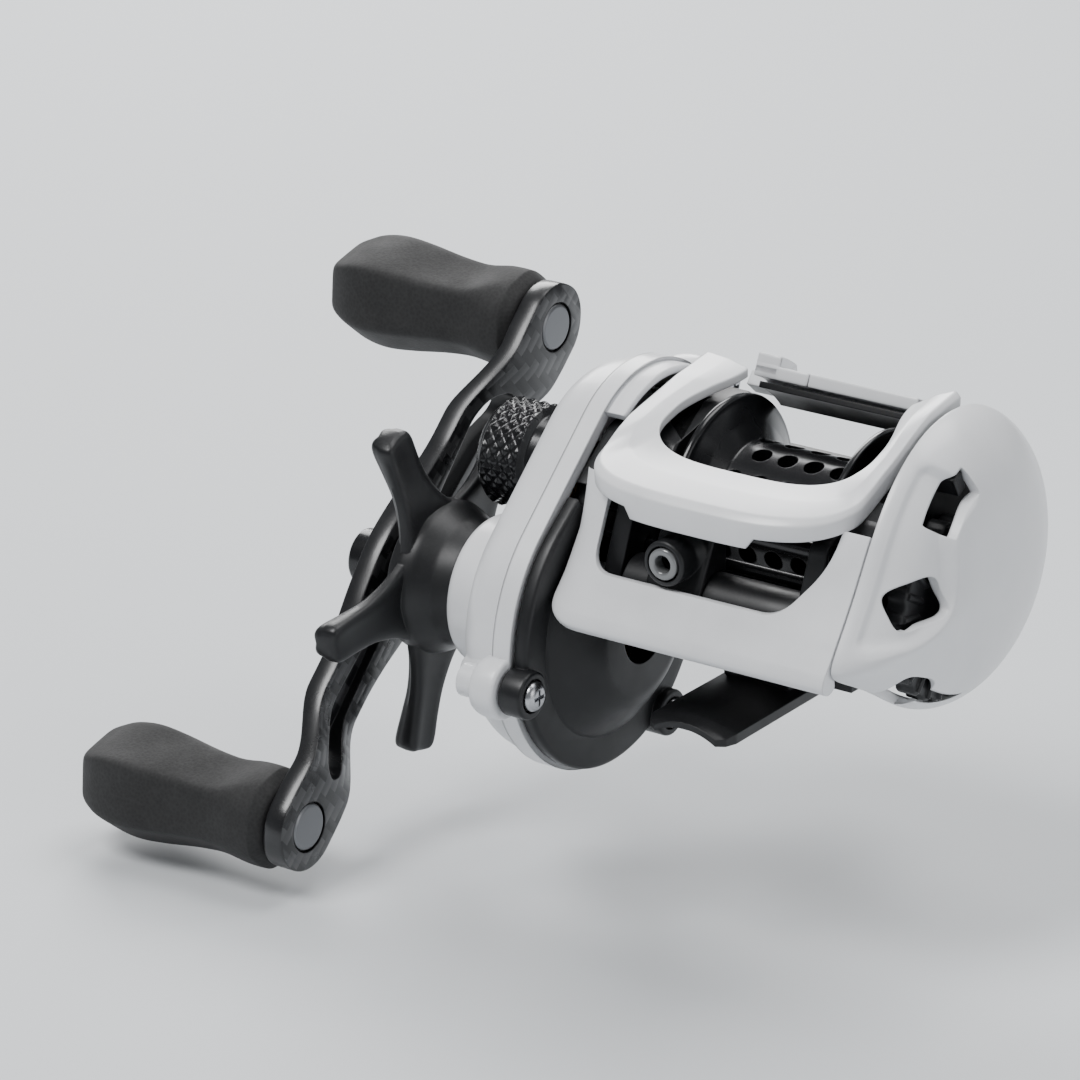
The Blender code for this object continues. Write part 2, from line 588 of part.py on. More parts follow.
def worm_mesh():
    """Worm shaft with two crossing helical grooves and plain journals."""
    length, turns, sides, rows = 25.0, 4, 12, 24
    profile = [(-28.9, 1.2), (-26.9, 1.2)]
    points = []
    for x, r in profile:
        points.append([(x, r)] * sides)
    points += [[(x, 1.5)] * sides for x in (-26.8, -13.2)]
    for i in range(rows + 1):
        x = -length / 2 + length * i / rows
        row = []
        for j in range(sides):
            a = 2 * pi * j / sides
            swing = 2 * pi * turns * i / rows
            depth = max(max(0.0, cos(a - swing)) ** 6, max(0.0, cos(a + swing)) ** 6)
            row.append((x, 2.7 - 0.7 * depth))
        points.append(row)
    points += [[(x, 1.5)] * sides for x in (13.2, 16.4)]
    ringed = [[(x, WORM_DY + r * cos(2 * pi * j / sides), WORM_DZ + r * sin(2 * pi * j / sides))
               for j, (x, r) in enumerate(row)] for row in points]
    return skin(ringed)


# ------------------------------------------------------------------ handle and star

def star_mesh():
    """Star drag: a hollow hub with five thick-tipped arms."""
    hub = turn([(BOSS_END - 0.4, 0), (BOSS_END - 0.4, 9.0), (-49.5, 9.6), (STAR_IN + 0.6, 11.5),
                (STAR_OUT, 11.5), (STAR_OUT, 0)], DRIVE, 24)
    for k in range(STAR_ARMS):
        angle = radians(STAR_FIRST + 360 / STAR_ARMS * k)
        stations = [(8.0, 4.6, -54.9, 1.3), (12.0, 3.7, -54.9, 1.3), (17.0, 2.9, -55.1, 1.3),
                    (22.0, 3.0, -55.6, 1.5), (25.4, 2.5, -55.9, 1.5), (STAR_R, 1.6, -56.0, 1.1)]
        rings = []
        for r, half, x, thick in stations:
            ring = [(x - thick, -half * 0.75), (x + thick, -half), (x + thick, half),
                    (x - thick, half * 0.75)]
            rings.append([(px, DRIVE_DY + r * cos(angle) - v * sin(angle),
                           DRIVE_DZ + r * sin(angle) + v * cos(angle)) for px, v in ring])
        hub = add(hub, skin(rings))
    return cut(hub, tube(-40, -52.7, 7.9, 0, DRIVE, 20), tube(-40, -60, SHAFT_R + GAP, 0, DRIVE, 16))


def arm_x(r):
    """Inner face of the handle arm: set out at the hub and cranked back towards the ends."""
    return HUB_IN + (TIP_IN - HUB_IN) * smooth((abs(r) - 23) / 13)


def arm_half_width(r):
    """Half the handle arm's width along its length."""
    half_span = HANDLE_SPAN / 2
    away = abs(r)
    if away > half_span:
        return sqrt(max(6.6 ** 2 - (away - half_span) ** 2, 0.8))
    waist = 1.3 * smooth((away - 8) / 12) * (1 - smooth((away - 26) / 14))
    return 6.6 + 1.6 * (1 - smooth(away / 14)) - waist


def along_arm(r, v, x):
    """Point at r along the arm and v across it."""
    a = radians(HANDLE_ANGLE)
    return (x, DRIVE_DY + r * cos(a) - v * sin(a), DRIVE_DZ + r * sin(a) + v * cos(a))


def handle_arm_mesh():
    """Cranked twin handle arm with a long slot in its upper half and a recess in its lower half."""
    half_span = HANDLE_SPAN / 2
    stations = [0, 4, 8, 12, 17, 23, 26, 29, 32, 36, 39, half_span, 45.5, 47.6, 48.8, 49.1]
    stations = [-r for r in stations[:0:-1]] + stations
    rings = []
    for r in stations:
        half, x = arm_half_width(r), arm_x(r)
        section = [(x, -half), (x, half), (x - 3.0, half), (x - 3.5, half - 0.6), (x - 3.5, 0.6 - half),
                   (x - 3.0, -half)]
        rings.append([along_arm(r, v, px) for px, v in section])
    arm = skin(rings)
    slot = [along_arm(r, v, -50)
            for r, v in ((11, -1.4), (28, -2.4), (30, 0), (28, 2.4), (11, 1.4), (9.6, 0))]
    knife = skin([slot, [(x - 20, y, z) for x, y, z in slot]])
    recess = [along_arm(-r, v, HUB_IN + 10)
              for r, v in ((11, -1.4), (33, -2.2), (34.5, 0), (33, 2.2), (11, 1.4), (9.6, 0))]
    gouge = skin([recess, [(HUB_IN - 1.4, y, z) for _, y, z in recess]])
    arm = cut(arm, knife, gouge, tube(-50, -70, SHAFT_R + GAP, 0, DRIVE, 20))
    for sign in (1, -1):
        centre = along_arm(sign * half_span, 0, 0)[1:]
        arm = cut(arm, tube(-50, -65, 2.0 + GAP, 0, centre, 16),
                  tube(-50, TIP_IN - 1.0, 3.5 + GAP, 0, centre, 24))
    return arm


def knob_centre(sign):
    """Where a knob's axis crosses the handle arm."""
    return along_arm(sign * HANDLE_SPAN / 2, 0, 0)[1:]


def knob_post_mesh(sign):
    """Knob post, riveted in the arm with a wide flat head."""
    head = TIP_IN - 0.75
    return turn([(TIP_IN + 0.1, 0), (TIP_IN + 0.1, 3.2), (TIP_IN - 0.2, 3.5), (head, 3.5), (head, 2.0),
                 (-90.0, 2.0), (-90.0, 0)], knob_centre(sign), 20)


def knob_bush_mesh(sign):
    """Sleeve bearing inside a knob."""
    return tube(KNOB_IN - 0.2, -88.0, 3.1, 2.25, knob_centre(sign), 16)


def knob_mesh(sign):
    """EVA paddle knob: a narrow collar by the arm, a waist, and a broad rounded end."""
    centre = knob_centre(sign)
    stations = [(KNOB_IN, 5.4, 5.4), (-61.2, 6.6, 6.8), (-64.5, 7.2, 7.6), (-70.0, 7.3, 7.3),
                (-77.0, 8.2, 7.7), (-84.0, 9.2, 8.4), (-89.0, 9.5, 8.6), (-92.4, 8.6, 7.6),
                (-93.6, 7.0, 6.0), (KNOB_OUT, 4.6, 3.8)]
    sides = 20
    rings = []
    for x, a, b in stations:
        ring = []
        for j in range(sides):
            t = 2 * pi * j / sides
            c, s = cos(t), sin(t)
            y = a * abs(c) ** 0.85 * (1 if c >= 0 else -1)
            z = b * abs(s) ** 0.85 * (1 if s >= 0 else -1)
            ring.append((x, centre[0] + y, centre[1] + z))
        rings.append(ring)
    return cut(skin(rings), tube(KNOB_IN + 1, -91.0, 3.1 + GAP, 0, centre, 16))


def drive_shaft_mesh():
    """Drive shaft through the gear, the clutch bearing, the star and the arm."""
    return turn([(-24.0, 0), (-24.0, 2.6), (-24.4, SHAFT_R), (-67.0, SHAFT_R), (-67.0, 0)], DRIVE, 20)


# ------------------------------------------------------------------ spool

def spool_mesh():
    """Spool: thin flanges with smooth cones down to the barrel, hollow under each flange."""
    w = SPOOL_HALF_W
    half = [(w - 0.2, SPOOL_R), (w, SPOOL_R - 0.3), (w - 0.5, 14.6), (w - 2.6, 9.0), (w - 2.6, 4.0),
            (w - 0.6, 3.6), (w - 0.6, 1.8)]
    right = [(w - 3.9, BARREL_R), (w - 1.2, SPOOL_R - 0.6), (w - 1.0, SPOOL_R)] + half
    left = [(-x, r) for x, r in right[::-1]]
    return turn(right + left, SPOOL, 28)


def brake_rotor_mesh():
    """Light metal cup on the spool shaft that turns past the brake magnets."""
    return turn([(13.4, 1.8), (13.4, 8.4), (16.6, 8.4), (16.6, 7.6), (14.1, 7.6), (14.1, 1.8)], SPOOL, 24)


def palm_plate_mesh():
    """Black plate that closes the frame's bore and carries the spool bearing and the magnets."""
    rim = RING_IN_R - GAP
    return turn([(17.6, 4.3), (17.6, 5.6), (21.2, 5.6), (21.2, 13.8), (18.6, 13.8), (18.6, 15.2),
                 (21.2, 15.2), (21.2, rim), (23.0, rim), (23.0, 0), (21.9, 0), (21.9, 4.3)], SPOOL, 28)


# ------------------------------------------------------------------ palm side controls

def dial_mesh():
    """Brake dial: a ribbed wheel whose rim shows in two windows."""
    outline = []
    for i in range(DIAL_RIBS):
        for share, r in ((0.0, DIAL_R), (0.45, DIAL_R), (0.5, DIAL_R - 0.6), (0.95, DIAL_R - 0.6)):
            a = 2 * pi * (i + share) / DIAL_RIBS
            outline.append((DIAL[0] + r * cos(a), DIAL[1] + r * sin(a)))
    wheel = prism(outline, 24.9, 28.2)
    return add(wheel, tube(23.4, 25.4, 2.2, 0, DIAL, 16))


def lever_mesh():
    """Side plate lock: a flat arm about the spool axis with a ribbed finger tab."""
    arm = prism(arc(SPOOL, 5.2, 150, 430, 16) + [(3.3, 8.0), (-5.2, 16.6), (-8.9, 14.6)], 23.5, 24.4)
    arm = cut(arm, tube(23, 25, 3.4, 0, DIAL, 16))
    tab = prism(arc(SPOOL, 14.0, 113, 120, 2) + arc(SPOOL, 17.2, 120, 113, 2), 23.9, 29.6)
    return add(arm, tab)


# ------------------------------------------------------------------ assembly

def place(name, bm, material, axis, smooth_angle=32):
    """Make one object from a mesh in spool-axis millimetres, parented to its body's axis empty."""
    bmesh.ops.recalc_face_normals(bm, faces=bm.faces[:])
    mesh = bpy.data.meshes.new(name)
    bmesh.ops.triangulate(bm, faces=[f for f in bm.faces if len(f.verts) > 4])
    anchor = axis["anchor"]
    bmesh.ops.translate(bm, verts=bm.verts[:], vec=[-v for v in anchor])
    bmesh.ops.scale(bm, verts=bm.verts[:], vec=(MM, MM, MM))
    bm.to_mesh(mesh)
    bm.free()
    mesh.materials.append(material)
    mesh.shade_smooth()
    mesh.set_sharp_from_angle(angle=radians(smooth_angle))
    thing = bpy.data.objects.new(name, mesh)
    thing.parent = axis["empty"]
    bpy.context.scene.collection.objects.link(thing)
    return thing


def axis_empty(name, anchor, parent=None):
    """An empty on a body's axis. Its anchor is given in spool-axis millimetres."""
    empty = bpy.data.objects.new(name, None)
    bpy.context.scene.collection.objects.link(empty)
    base = (0.0, 0.0, -SPOOL_Z)
    if parent:
        empty.parent = parent["empty"]
        base = parent["anchor"]
    empty.location = [(a - b) * MM for a, b in zip(anchor, base)]
    return {"empty": empty, "anchor": anchor}


def build():
    """Build every piece in its place."""
    clear_scene()
    mats = make_materials()
    white, black, gloss = mats["white_paint"], mats["black_frame"], mats["black_gloss"]
    steel, grey, brass, nylon = mats["steel"], mats["grey_metal"], mats["brass"], mats["nylon"]

    reel = axis_empty("reel_axis", (0, 0, 0))
    handle = axis_empty("handle_axis", (0, *DRIVE), reel)
    star = axis_empty("star_axis", (0, *DRIVE), handle)
    knobs = {"upper": axis_empty("knob_upper_axis", (0, *knob_centre(1)), handle),
             "lower": axis_empty("knob_lower_axis", (0, *knob_centre(-1)), handle)}
    worm = axis_empty("worm_axis", (0, *WORM), reel)
    guide = axis_empty("guide_axis", (GUIDE_X, *WORM), reel)
    spool = axis_empty("spool_axis", (0, 0, 0), reel)
    pinion = axis_empty("pinion_axis", (0, 0, 0), reel)
    cast = axis_empty("cast_control_axis", (0, 0, 0), reel)
    thumb = axis_empty("thumb_axis", (0, 0, 0), reel)
    palm = axis_empty("palm_axis", (0, 0, 0), reel)
    dial = axis_empty("dial_axis", (0, *DIAL), palm)
    lever = axis_empty("lever_axis", (0, 0, 0), palm)

    # frame, foot and covers
    place("frame", frame_lugs(frame_mesh()), black, reel)
    place("reel_foot", foot_mesh(), black, reel)
    place("foot_screw_front", foot_screw_mesh(-6.5), steel, reel)
    place("foot_screw_rear", foot_screw_mesh(6.5), steel, reel)
    place("hood_cover", hood_mesh(), white, reel)
    place("front_jaw", jaw_mesh(), white, reel)
    place("gear_cover", gear_cover_mesh(), white, reel)
    for name, (y, z) in zip(("front", "low", "rear"), screw_places()):
        place(f"cover_screw_{name}", cover_screw_mesh(y, z), steel, reel)
    place("drive_shaft_bearing", tube(DISC_OUT + 0.1, DISC_IN - 0.1, 5.0, SHAFT_R + GAP, DRIVE), steel, reel)
    place("one_way_bearing", tube(-38.0, -44.6, 8.7, 4.9, DRIVE, 28), steel, reel)
    place("pinion_bearing", tube(-WALL_OUT + 0.1, -WALL_IN - 0.1, 4.5, 2.7), steel, reel)
    place("cast_bearing", tube(-39.0, -42.0, 4.0, 1.8), steel, reel)
    place("upper_guide_rod", tube(-23.4, WALL_OUT, ROD_UPPER_R, 0, ROD_UPPER, 14), gloss, reel)
    place("lower_guide_rod", tube(-23.4, WALL_OUT, ROD_LOWER_R, 0, ROD_LOWER, 12), gloss, reel)
    place("worm_tube", worm_tube_mesh(), black, reel)

    # level wind
    place("line_guide_carriage", carriage_mesh(), black, guide)
    place("line_guide_insert", insert_mesh(), mats["ceramic"], guide)
    place("pawl", rod((GUIDE_X, WORM_DY, WORM_DZ - 6.3), (GUIDE_X, WORM_DY, WORM_DZ - 3.0), 1.4, 14),
          brass, guide)
    place("pawl_cap", turned_cap(), grey, guide)
    place("worm_shaft", worm_mesh(), steel, worm)
    driver_phase = 0.0
    worm_phase = mesh_phase(WORM, DRIVE, WORM_TEETH, WORM_DRIVER_TEETH, driver_phase)
    place("worm_gear", gear(WORM_TEETH, WORM_MODULE, WORM, -27.0, -28.6, worm_phase, 1.2 + GAP, 2),
          nylon, worm)

    # handle side
    place("drive_shaft", drive_shaft_mesh(), steel, handle)
    place("worm_drive_gear", gear(WORM_DRIVER_TEETH, WORM_MODULE, DRIVE, -27.0, -28.6, driver_phase,
                                  SHAFT_R + GAP, 2), nylon, handle)
    place("drive_gear", gear(DRIVE_TEETH, GEAR_MODULE, DRIVE, -30.6, -33.2, 0.0, SHAFT_R + GAP, 2),
          brass, handle)
    place("drag_washer", tube(-33.5, -34.2, 14.0, SHAFT_R + GAP, DRIVE, 28), mats["carbon"], handle)
    place("drag_plate", tube(-34.5, -35.6, 13.6, SHAFT_R + GAP, DRIVE, 28), steel, handle)
    place("clutch_sleeve", tube(-36.6, BOSS_END, 4.6, SHAFT_R + GAP, DRIVE, 20), steel, handle)
    place("spring_washer_inner", turn([(-46.4, 3.4), (-47.2, 3.4), (-48.2, 7.2), (-47.4, 7.2)], DRIVE, 20),
          steel, handle)
    place("spring_washer_outer", turn([(-49.5, 3.4), (-50.3, 3.4), (-49.3, 7.2), (-48.5, 7.2)], DRIVE, 20),
          steel, handle)
    place("arm_spacer", tube(STAR_OUT - GAP, HUB_IN + GAP, 6.2, SHAFT_R + GAP, DRIVE, 20), black, handle)
    place("handle_arm", handle_arm_mesh(), mats["carbon"], handle)
    nut = [(HUB_OUT - GAP, 3.3), (HUB_OUT - GAP, 5.0), (-65.0, 5.0), (-65.2, 4.1), (-68.2, 4.1),
           (-68.8, 3.5), (-68.8, 0), (-67.3, 0), (-67.3, 3.3)]
    place("handle_nut", turn(nut, DRIVE, 24), gloss, handle)
    for name, sign in (("upper", 1), ("lower", -1)):
        place(f"knob_post_{name}", knob_post_mesh(sign), grey, handle)
        place(f"knob_bush_{name}", knob_bush_mesh(sign), brass, knobs[name])
        place(f"knob_{name}", knob_mesh(sign), mats["eva_foam"], knobs[name])
    place("star_drag", star_mesh(), black, star)
    place("star_nut", tube(-50.6, -52.4, 7.4, 3.9, DRIVE, 6), brass, star)

    # spool side
    place("spool", spool_mesh(), gloss, spool)
    shaft = [(-45.8, 0), (-45.8, 1.2), (-45.5, 1.5), (20.8, 1.5), (21.2, 1.2), (21.2, 0)]
    place("spool_shaft", turn(shaft, SPOOL, 16), steel, spool)
    place("brake_rotor", brake_rotor_mesh(), grey, spool)
    place("pinion_gear", pinion_mesh(), brass, pinion)
    place("clutch_yoke", yoke_mesh(), nylon, pinion)
    place("cast_control_knob", cast_knob_mesh(), gloss, cast)
    place("cast_control_shim", tube(-46.3, -46.9, 3.4, 0, SPOOL, 16), brass, cast)
    place("thumb_bar", thumb_bar_mesh(), white, thumb)
    place("thumb_bar_carrier", thumb_carrier_mesh(), black, thumb)

    # palm side
    place("palm_cover", palm_shell_mesh(), white, palm)
    place("palm_plate", palm_plate_mesh(), black, palm)
    place("spool_bearing", tube(18.0, 20.8, 4.0, 1.8), steel, palm)
    place("magnet_ring", tube(17.7, 20.9, 8.2, 5.9), grey, palm)
    place("brake_dial", dial_mesh(), black, dial)
    place("lock_lever", lever_mesh(), black, lever)


def turned_cap():
    """Round cap that screws in under the carriage and holds the pawl."""
    top, low = WORM_DZ - 5.4 - GAP, WORM_DZ - 7.1
    cap = rod((GUIDE_X, WORM_DY, low), (GUIDE_X, WORM_DY, top), 2.8, 20)
    return cut(cap, rod((GUIDE_X, WORM_DY, low + 0.5), (GUIDE_X, WORM_DY, top + 1), 1.4 + GAP, 14))


def pinion_mesh():
    """Pinion: a long nose, a yoke groove between two collars, and the teeth, on a through bore."""
    nose = turn([(-14.6, 0), (-14.6, 2.4), (-26.5, 2.4), (-26.5, 3.4), (-27.0, 3.4), (-27.0, 2.3),
                 (-28.0, 2.3), (-28.0, 3.4), (-28.4, 3.4), (-28.4, 1.9), (-28.9, 1.9), (-28.9, 0)], SPOOL, 14)
    phase = mesh_phase(SPOOL, DRIVE, PINION_TEETH, DRIVE_TEETH, 0.0)
    teeth = prism(gear_outline(PINION_TEETH, GEAR_MODULE, phase), -28.5, -34.8)
    return cut(add(nose, teeth), tube(-10, -40, 1.5 + 0.12, 0, SPOOL, 12))


def yoke_mesh():
    """Forked plate that sits in the pinion's groove and slides it out of the spool."""
    plate = prism([(-3.2, 2.6), (-3.2, -4.2), (3.2, -4.2), (3.2, 2.6), (9.2, 4.4), (9.2, 8.0),
                   (-9.2, 8.0), (-9.2, 4.4)], -27.15, -27.85)
    fork = [(-2.6, 0), (-2.6, -9), (2.6, -9), (2.6, 0)] + arc(SPOOL, 2.6, 0, 180, 8)[1:-1]
    return cut(plate, prism(fork, -20, -30))


def cast_knob_mesh():
    """Cast control knob: smooth neck, wide gripping band and a domed end, hollow inside."""
    return turn([(COVER_FACE - GAP, 5.7), (COVER_FACE - GAP, 6.8), (-43.6, 6.8), (-44.2, 8.0), (-50.5, 8.0),
                 (-51.2, 7.2), (-52.4, 5.8), (-52.6, 0), (-47.2, 0), (-47.2, 5.7)], SPOOL, 24)


build()
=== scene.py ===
"""Studio scene of a low-profile baitcasting reel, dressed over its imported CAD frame.

Shapes are worked out in millimetres from the spool axis (X along the spool towards the palm
side, -Y forwards, Z up) and are brought to the row frame, in metres, as each piece is finished.
"""

import json
import logging
from collections.abc import Callable, Sequence
from dataclasses import dataclass, field
from enum import Enum
from math import atan2, cos, pi, radians, sin, sqrt

import bmesh
import bpy
import numpy as np
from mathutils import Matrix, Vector


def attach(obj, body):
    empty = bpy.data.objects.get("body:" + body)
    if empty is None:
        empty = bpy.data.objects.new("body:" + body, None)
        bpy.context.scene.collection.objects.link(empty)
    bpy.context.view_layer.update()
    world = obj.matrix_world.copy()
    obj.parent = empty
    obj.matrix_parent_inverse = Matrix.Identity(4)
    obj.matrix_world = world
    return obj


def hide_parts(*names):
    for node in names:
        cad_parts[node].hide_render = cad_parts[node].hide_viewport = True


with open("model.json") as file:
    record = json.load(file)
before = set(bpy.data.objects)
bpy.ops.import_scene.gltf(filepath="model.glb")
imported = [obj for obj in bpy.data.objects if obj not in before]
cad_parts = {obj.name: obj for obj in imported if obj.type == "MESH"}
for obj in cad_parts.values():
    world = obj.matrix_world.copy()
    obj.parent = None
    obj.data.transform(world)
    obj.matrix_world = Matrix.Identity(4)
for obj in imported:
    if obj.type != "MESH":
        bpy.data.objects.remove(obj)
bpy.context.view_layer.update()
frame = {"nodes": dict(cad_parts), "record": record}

LOG = logging.getLogger("reel")
Array = np.ndarray
Point = tuple[float, float]
MM = 0.001
SPOOL_HEIGHT = 21.5
SPOOL: Point = (0.0, 0.0)
DRIVE: Point = (-12.2, -16.4434)
WORM: Point = (-21.5, -5.3187)
ROD_UPPER: Point = (-19.4, 4.6)
ROD_LOWER: Point = (-18.0, -1.0)
HANDLE_ANGLE = radians(43.3)
HALF_SPAN = 42.5


class Texture(Enum):
    """Kinds of fine surface that a finish can have."""

    PAINT = "paint"
    BLAST = "blast"
    FOAM = "foam"
    WEAVE = "weave"
    TURNED = "turned"
    SMOOTH = "smooth"


@dataclass(frozen=True)
class Finish:
    """Everything that sets one finish apart: colour, gloss, fine texture, and edges with a painted highlight."""

    slot: str
    colour: tuple[float, float, float]
    roughness: float
    metallic: float
    texture: Texture
    grain: float = 900.0
    bump: float = 0.1
    spread: float = 0.05
    coat: float = 0.0
    # edge: strength of the painted highlight on edges; edge_mm: bevel radius of the softened edges
    edge: float = 0.3
    edge_mm: float = 0.3
    sheen: float = 0.0


FINISHES: tuple[Finish, ...] = (
    Finish("white_paint", (0.80, 0.81, 0.83), 0.36, 0.0, Texture.PAINT, 1400, 0.035, 0.06, 0.35, 0.05, 0.35),
    Finish("black_frame", (0.010, 0.0105, 0.012), 0.42, 0.2, Texture.BLAST, 7000, 0.10, 0.08, 0.0, 0.10, 0.30),
    Finish("black_gloss", (0.009, 0.0095, 0.011), 0.24, 0.4, Texture.SMOOTH, 2500, 0.03, 0.07, 0.25, 0.10, 0.25),
    Finish("eva_foam", (0.0085, 0.0085, 0.009), 0.80, 0.0, Texture.FOAM, 3200, 0.22, 0.08, 0.0, 0.12, 0.6, 0.06),
    Finish("carbon", (0.009, 0.0095, 0.011), 0.33, 0.15, Texture.WEAVE, 5000, 0.12, 0.08, 0.30, 0.10, 0.35),
    Finish("steel", (0.52, 0.53, 0.55), 0.27, 1.0, Texture.TURNED, 5200, 0.05, 0.10, 0.0, 0.25, 0.2),
    Finish("grey_metal", (0.20, 0.205, 0.215), 0.34, 0.9, Texture.TURNED, 4800, 0.05, 0.10, 0.0, 0.45, 0.25),
    Finish("brass", (0.72, 0.50, 0.20), 0.30, 1.0, Texture.TURNED, 4600, 0.05, 0.10, 0.0, 0.2, 0.15),
    Finish("ceramic", (0.20, 0.205, 0.21), 0.12, 0.3, Texture.SMOOTH, 2500, 0.01, 0.04, 0.4, 0.3, 0.2),
    Finish("nylon", (0.70, 0.68, 0.62), 0.52, 0.0, Texture.BLAST, 3800, 0.08, 0.08, 0.0, 0.1, 0.15),
)


# ------------------------------------------------------------------ shared curves

def smooth(t: Array | float) -> Array:
    """Ease from 0 to 1: three t squared less two t cubed, with t held between 0 and 1."""
    t = np.clip(t, 0.0, 1.0)
    return t * t * (3 - 2 * t)


def circle(radius: Array | float, turns: Array) -> Array:
    """Points of a circle about the origin at the given angles, as (y, z)."""
    return np.stack([radius * np.cos(turns), radius * np.sin(turns)], axis=-1)


def arc(centre: Point, radius: float, start: float, end: float, steps: int = 40) -> Array:
    """Points of an arc, with angles in degrees from +Y towards +Z."""
    return np.array(centre) + circle(radius, np.radians(np.linspace(start, end, steps + 1)))


def rounded(points: Sequence[Sequence[float]], radius: float = 0.4, steps: int = 4, loop: bool = False) -> Array:
    """Round the corners of a line of points.

    Each corner gives way to a quadratic curve that leaves its two sides at the radius, or at
    under half of the shorter side, and is drawn towards the corner itself.

    Args:
        points: corners, in order.
        radius: distance from a corner at which its curve starts.
        steps: spans of each curve.
        loop: whether the line is closed.

    Returns:
        The rounded line, as rows of coordinates.
    """
    p = np.asarray(points, float)
    before, after = np.roll(p, 1, axis=0), np.roll(p, -1, axis=0)
    back, ahead = before - p, after - p
    size_b = np.linalg.norm(back, axis=1, keepdims=True)
    size_a = np.linalg.norm(ahead, axis=1, keepdims=True)
    start = p + back * np.minimum(radius, 0.48 * size_b) / np.maximum(size_b, 1e-9)
    end = p + ahead * np.minimum(radius, 0.48 * size_a) / np.maximum(size_a, 1e-9)
    t = np.linspace(0, 1, steps + 1)[None, :, None]
    curve = (1 - t) ** 2 * start[:, None] + 2 * t * (1 - t) * p[:, None] + t ** 2 * end[:, None]
    if loop:
        return curve.reshape(-1, p.shape[1])
    return np.concatenate([p[:1], curve[1:-1].reshape(-1, p.shape[1]), p[-1:]])


def through(points: Sequence[Sequence[float]], steps: int) -> Array:
    """A smooth open curve through the points: Catmull-Rom cubics, each with the same number of steps."""
    p = np.asarray(points, float)
    padded = np.concatenate([2 * p[:1] - p[1:2], p, 2 * p[-1:] - p[-2:-1]])
    a, b, c, d = (padded[i:len(p) - 1 + i][:, None] for i in range(4))
    t = np.linspace(0, 1, steps, endpoint=False)[None, :, None]
    curve = 0.5 * (2 * b + (c - a) * t + (2 * a - 5 * b + 4 * c - d) * t ** 2 + (3 * b - a - 3 * c + d) * t ** 3)
    return np.concatenate([curve.reshape(-1, p.shape[1]), p[-1:]])


def shrunk(outline: Array, inset: float) -> Array:
    """A closed anticlockwise (y, z) outline moved inwards along its corner normals by the inset."""
    ahead = np.roll(outline, -1, axis=0) - np.roll(outline, 1, axis=0)
    ahead /= np.maximum(np.linalg.norm(ahead, axis=1, keepdims=True), 1e-9)
    return outline + np.stack([-ahead[:, 1], ahead[:, 0]], axis=1) * inset


def anticlockwise(outline: Sequence[Sequence[float]]) -> Array:
    """The outline in anticlockwise order, judged by the sign of its area."""
    p = np.asarray(outline, float)
    q = np.roll(p, -1, axis=0)
    return p if np.sum(p[:, 0] * q[:, 1] - q[:, 0] * p[:, 1]) > 0 else p[::-1]


def two_lobes(inset: float = 0.0, spool_r: float = 18.0, drive_r: float = 22.0, steps: int = 168) -> Array:
    """Outline round the gear lobe and the spool lobe: in each direction, the circle that reaches further."""
    turns = 2 * pi * np.arange(steps) / steps
    way = circle(1.0, turns)
    reach = np.stack([way @ np.array(DRIVE) + drive_r, way @ np.array(SPOOL) + spool_r])
    centre = np.where((reach[0] > reach[1])[:, None], np.array(DRIVE), np.array(SPOOL))
    radius = np.where(reach[0] > reach[1], drive_r, spool_r)[:, None] - inset
    return centre + way * radius


def palm_radius(angle: Array | float) -> Array:
    """Rim radius of the palm cover in degrees: 21.5 plus a nose that fades with the angle from 194."""
    off = np.asarray(angle, float) - 194.0
    return 21.5 + 12.0 * np.exp(-np.sqrt(off * off + 9.0) / 14.5)


def hood_height(y: Array) -> Array:
    """Top of the hood over the spool axis: straight falls from the back to the front between listed points."""
    return np.interp(y, [-30, -17.5, -16.5, -12.5, -11.5, 0, 8], [10.63, 12.38, 12.8, 14.6, 14.9, 17.6, 18.8])


def at_drive(r: float, angle: float) -> Point:
    """Centre at a radius and an angle in degrees from the drive axis."""
    return DRIVE[0] + r * cos(radians(angle)), DRIVE[1] + r * sin(radians(angle))


def screw_places() -> tuple[Point, Point, Point]:
    """Centres of the three cover screws."""
    return at_drive(22.6, 190), at_drive(22.6, 305), (18.4 * cos(radians(38)), 18.4 * sin(radians(38)))


# ------------------------------------------------------------------ shapes

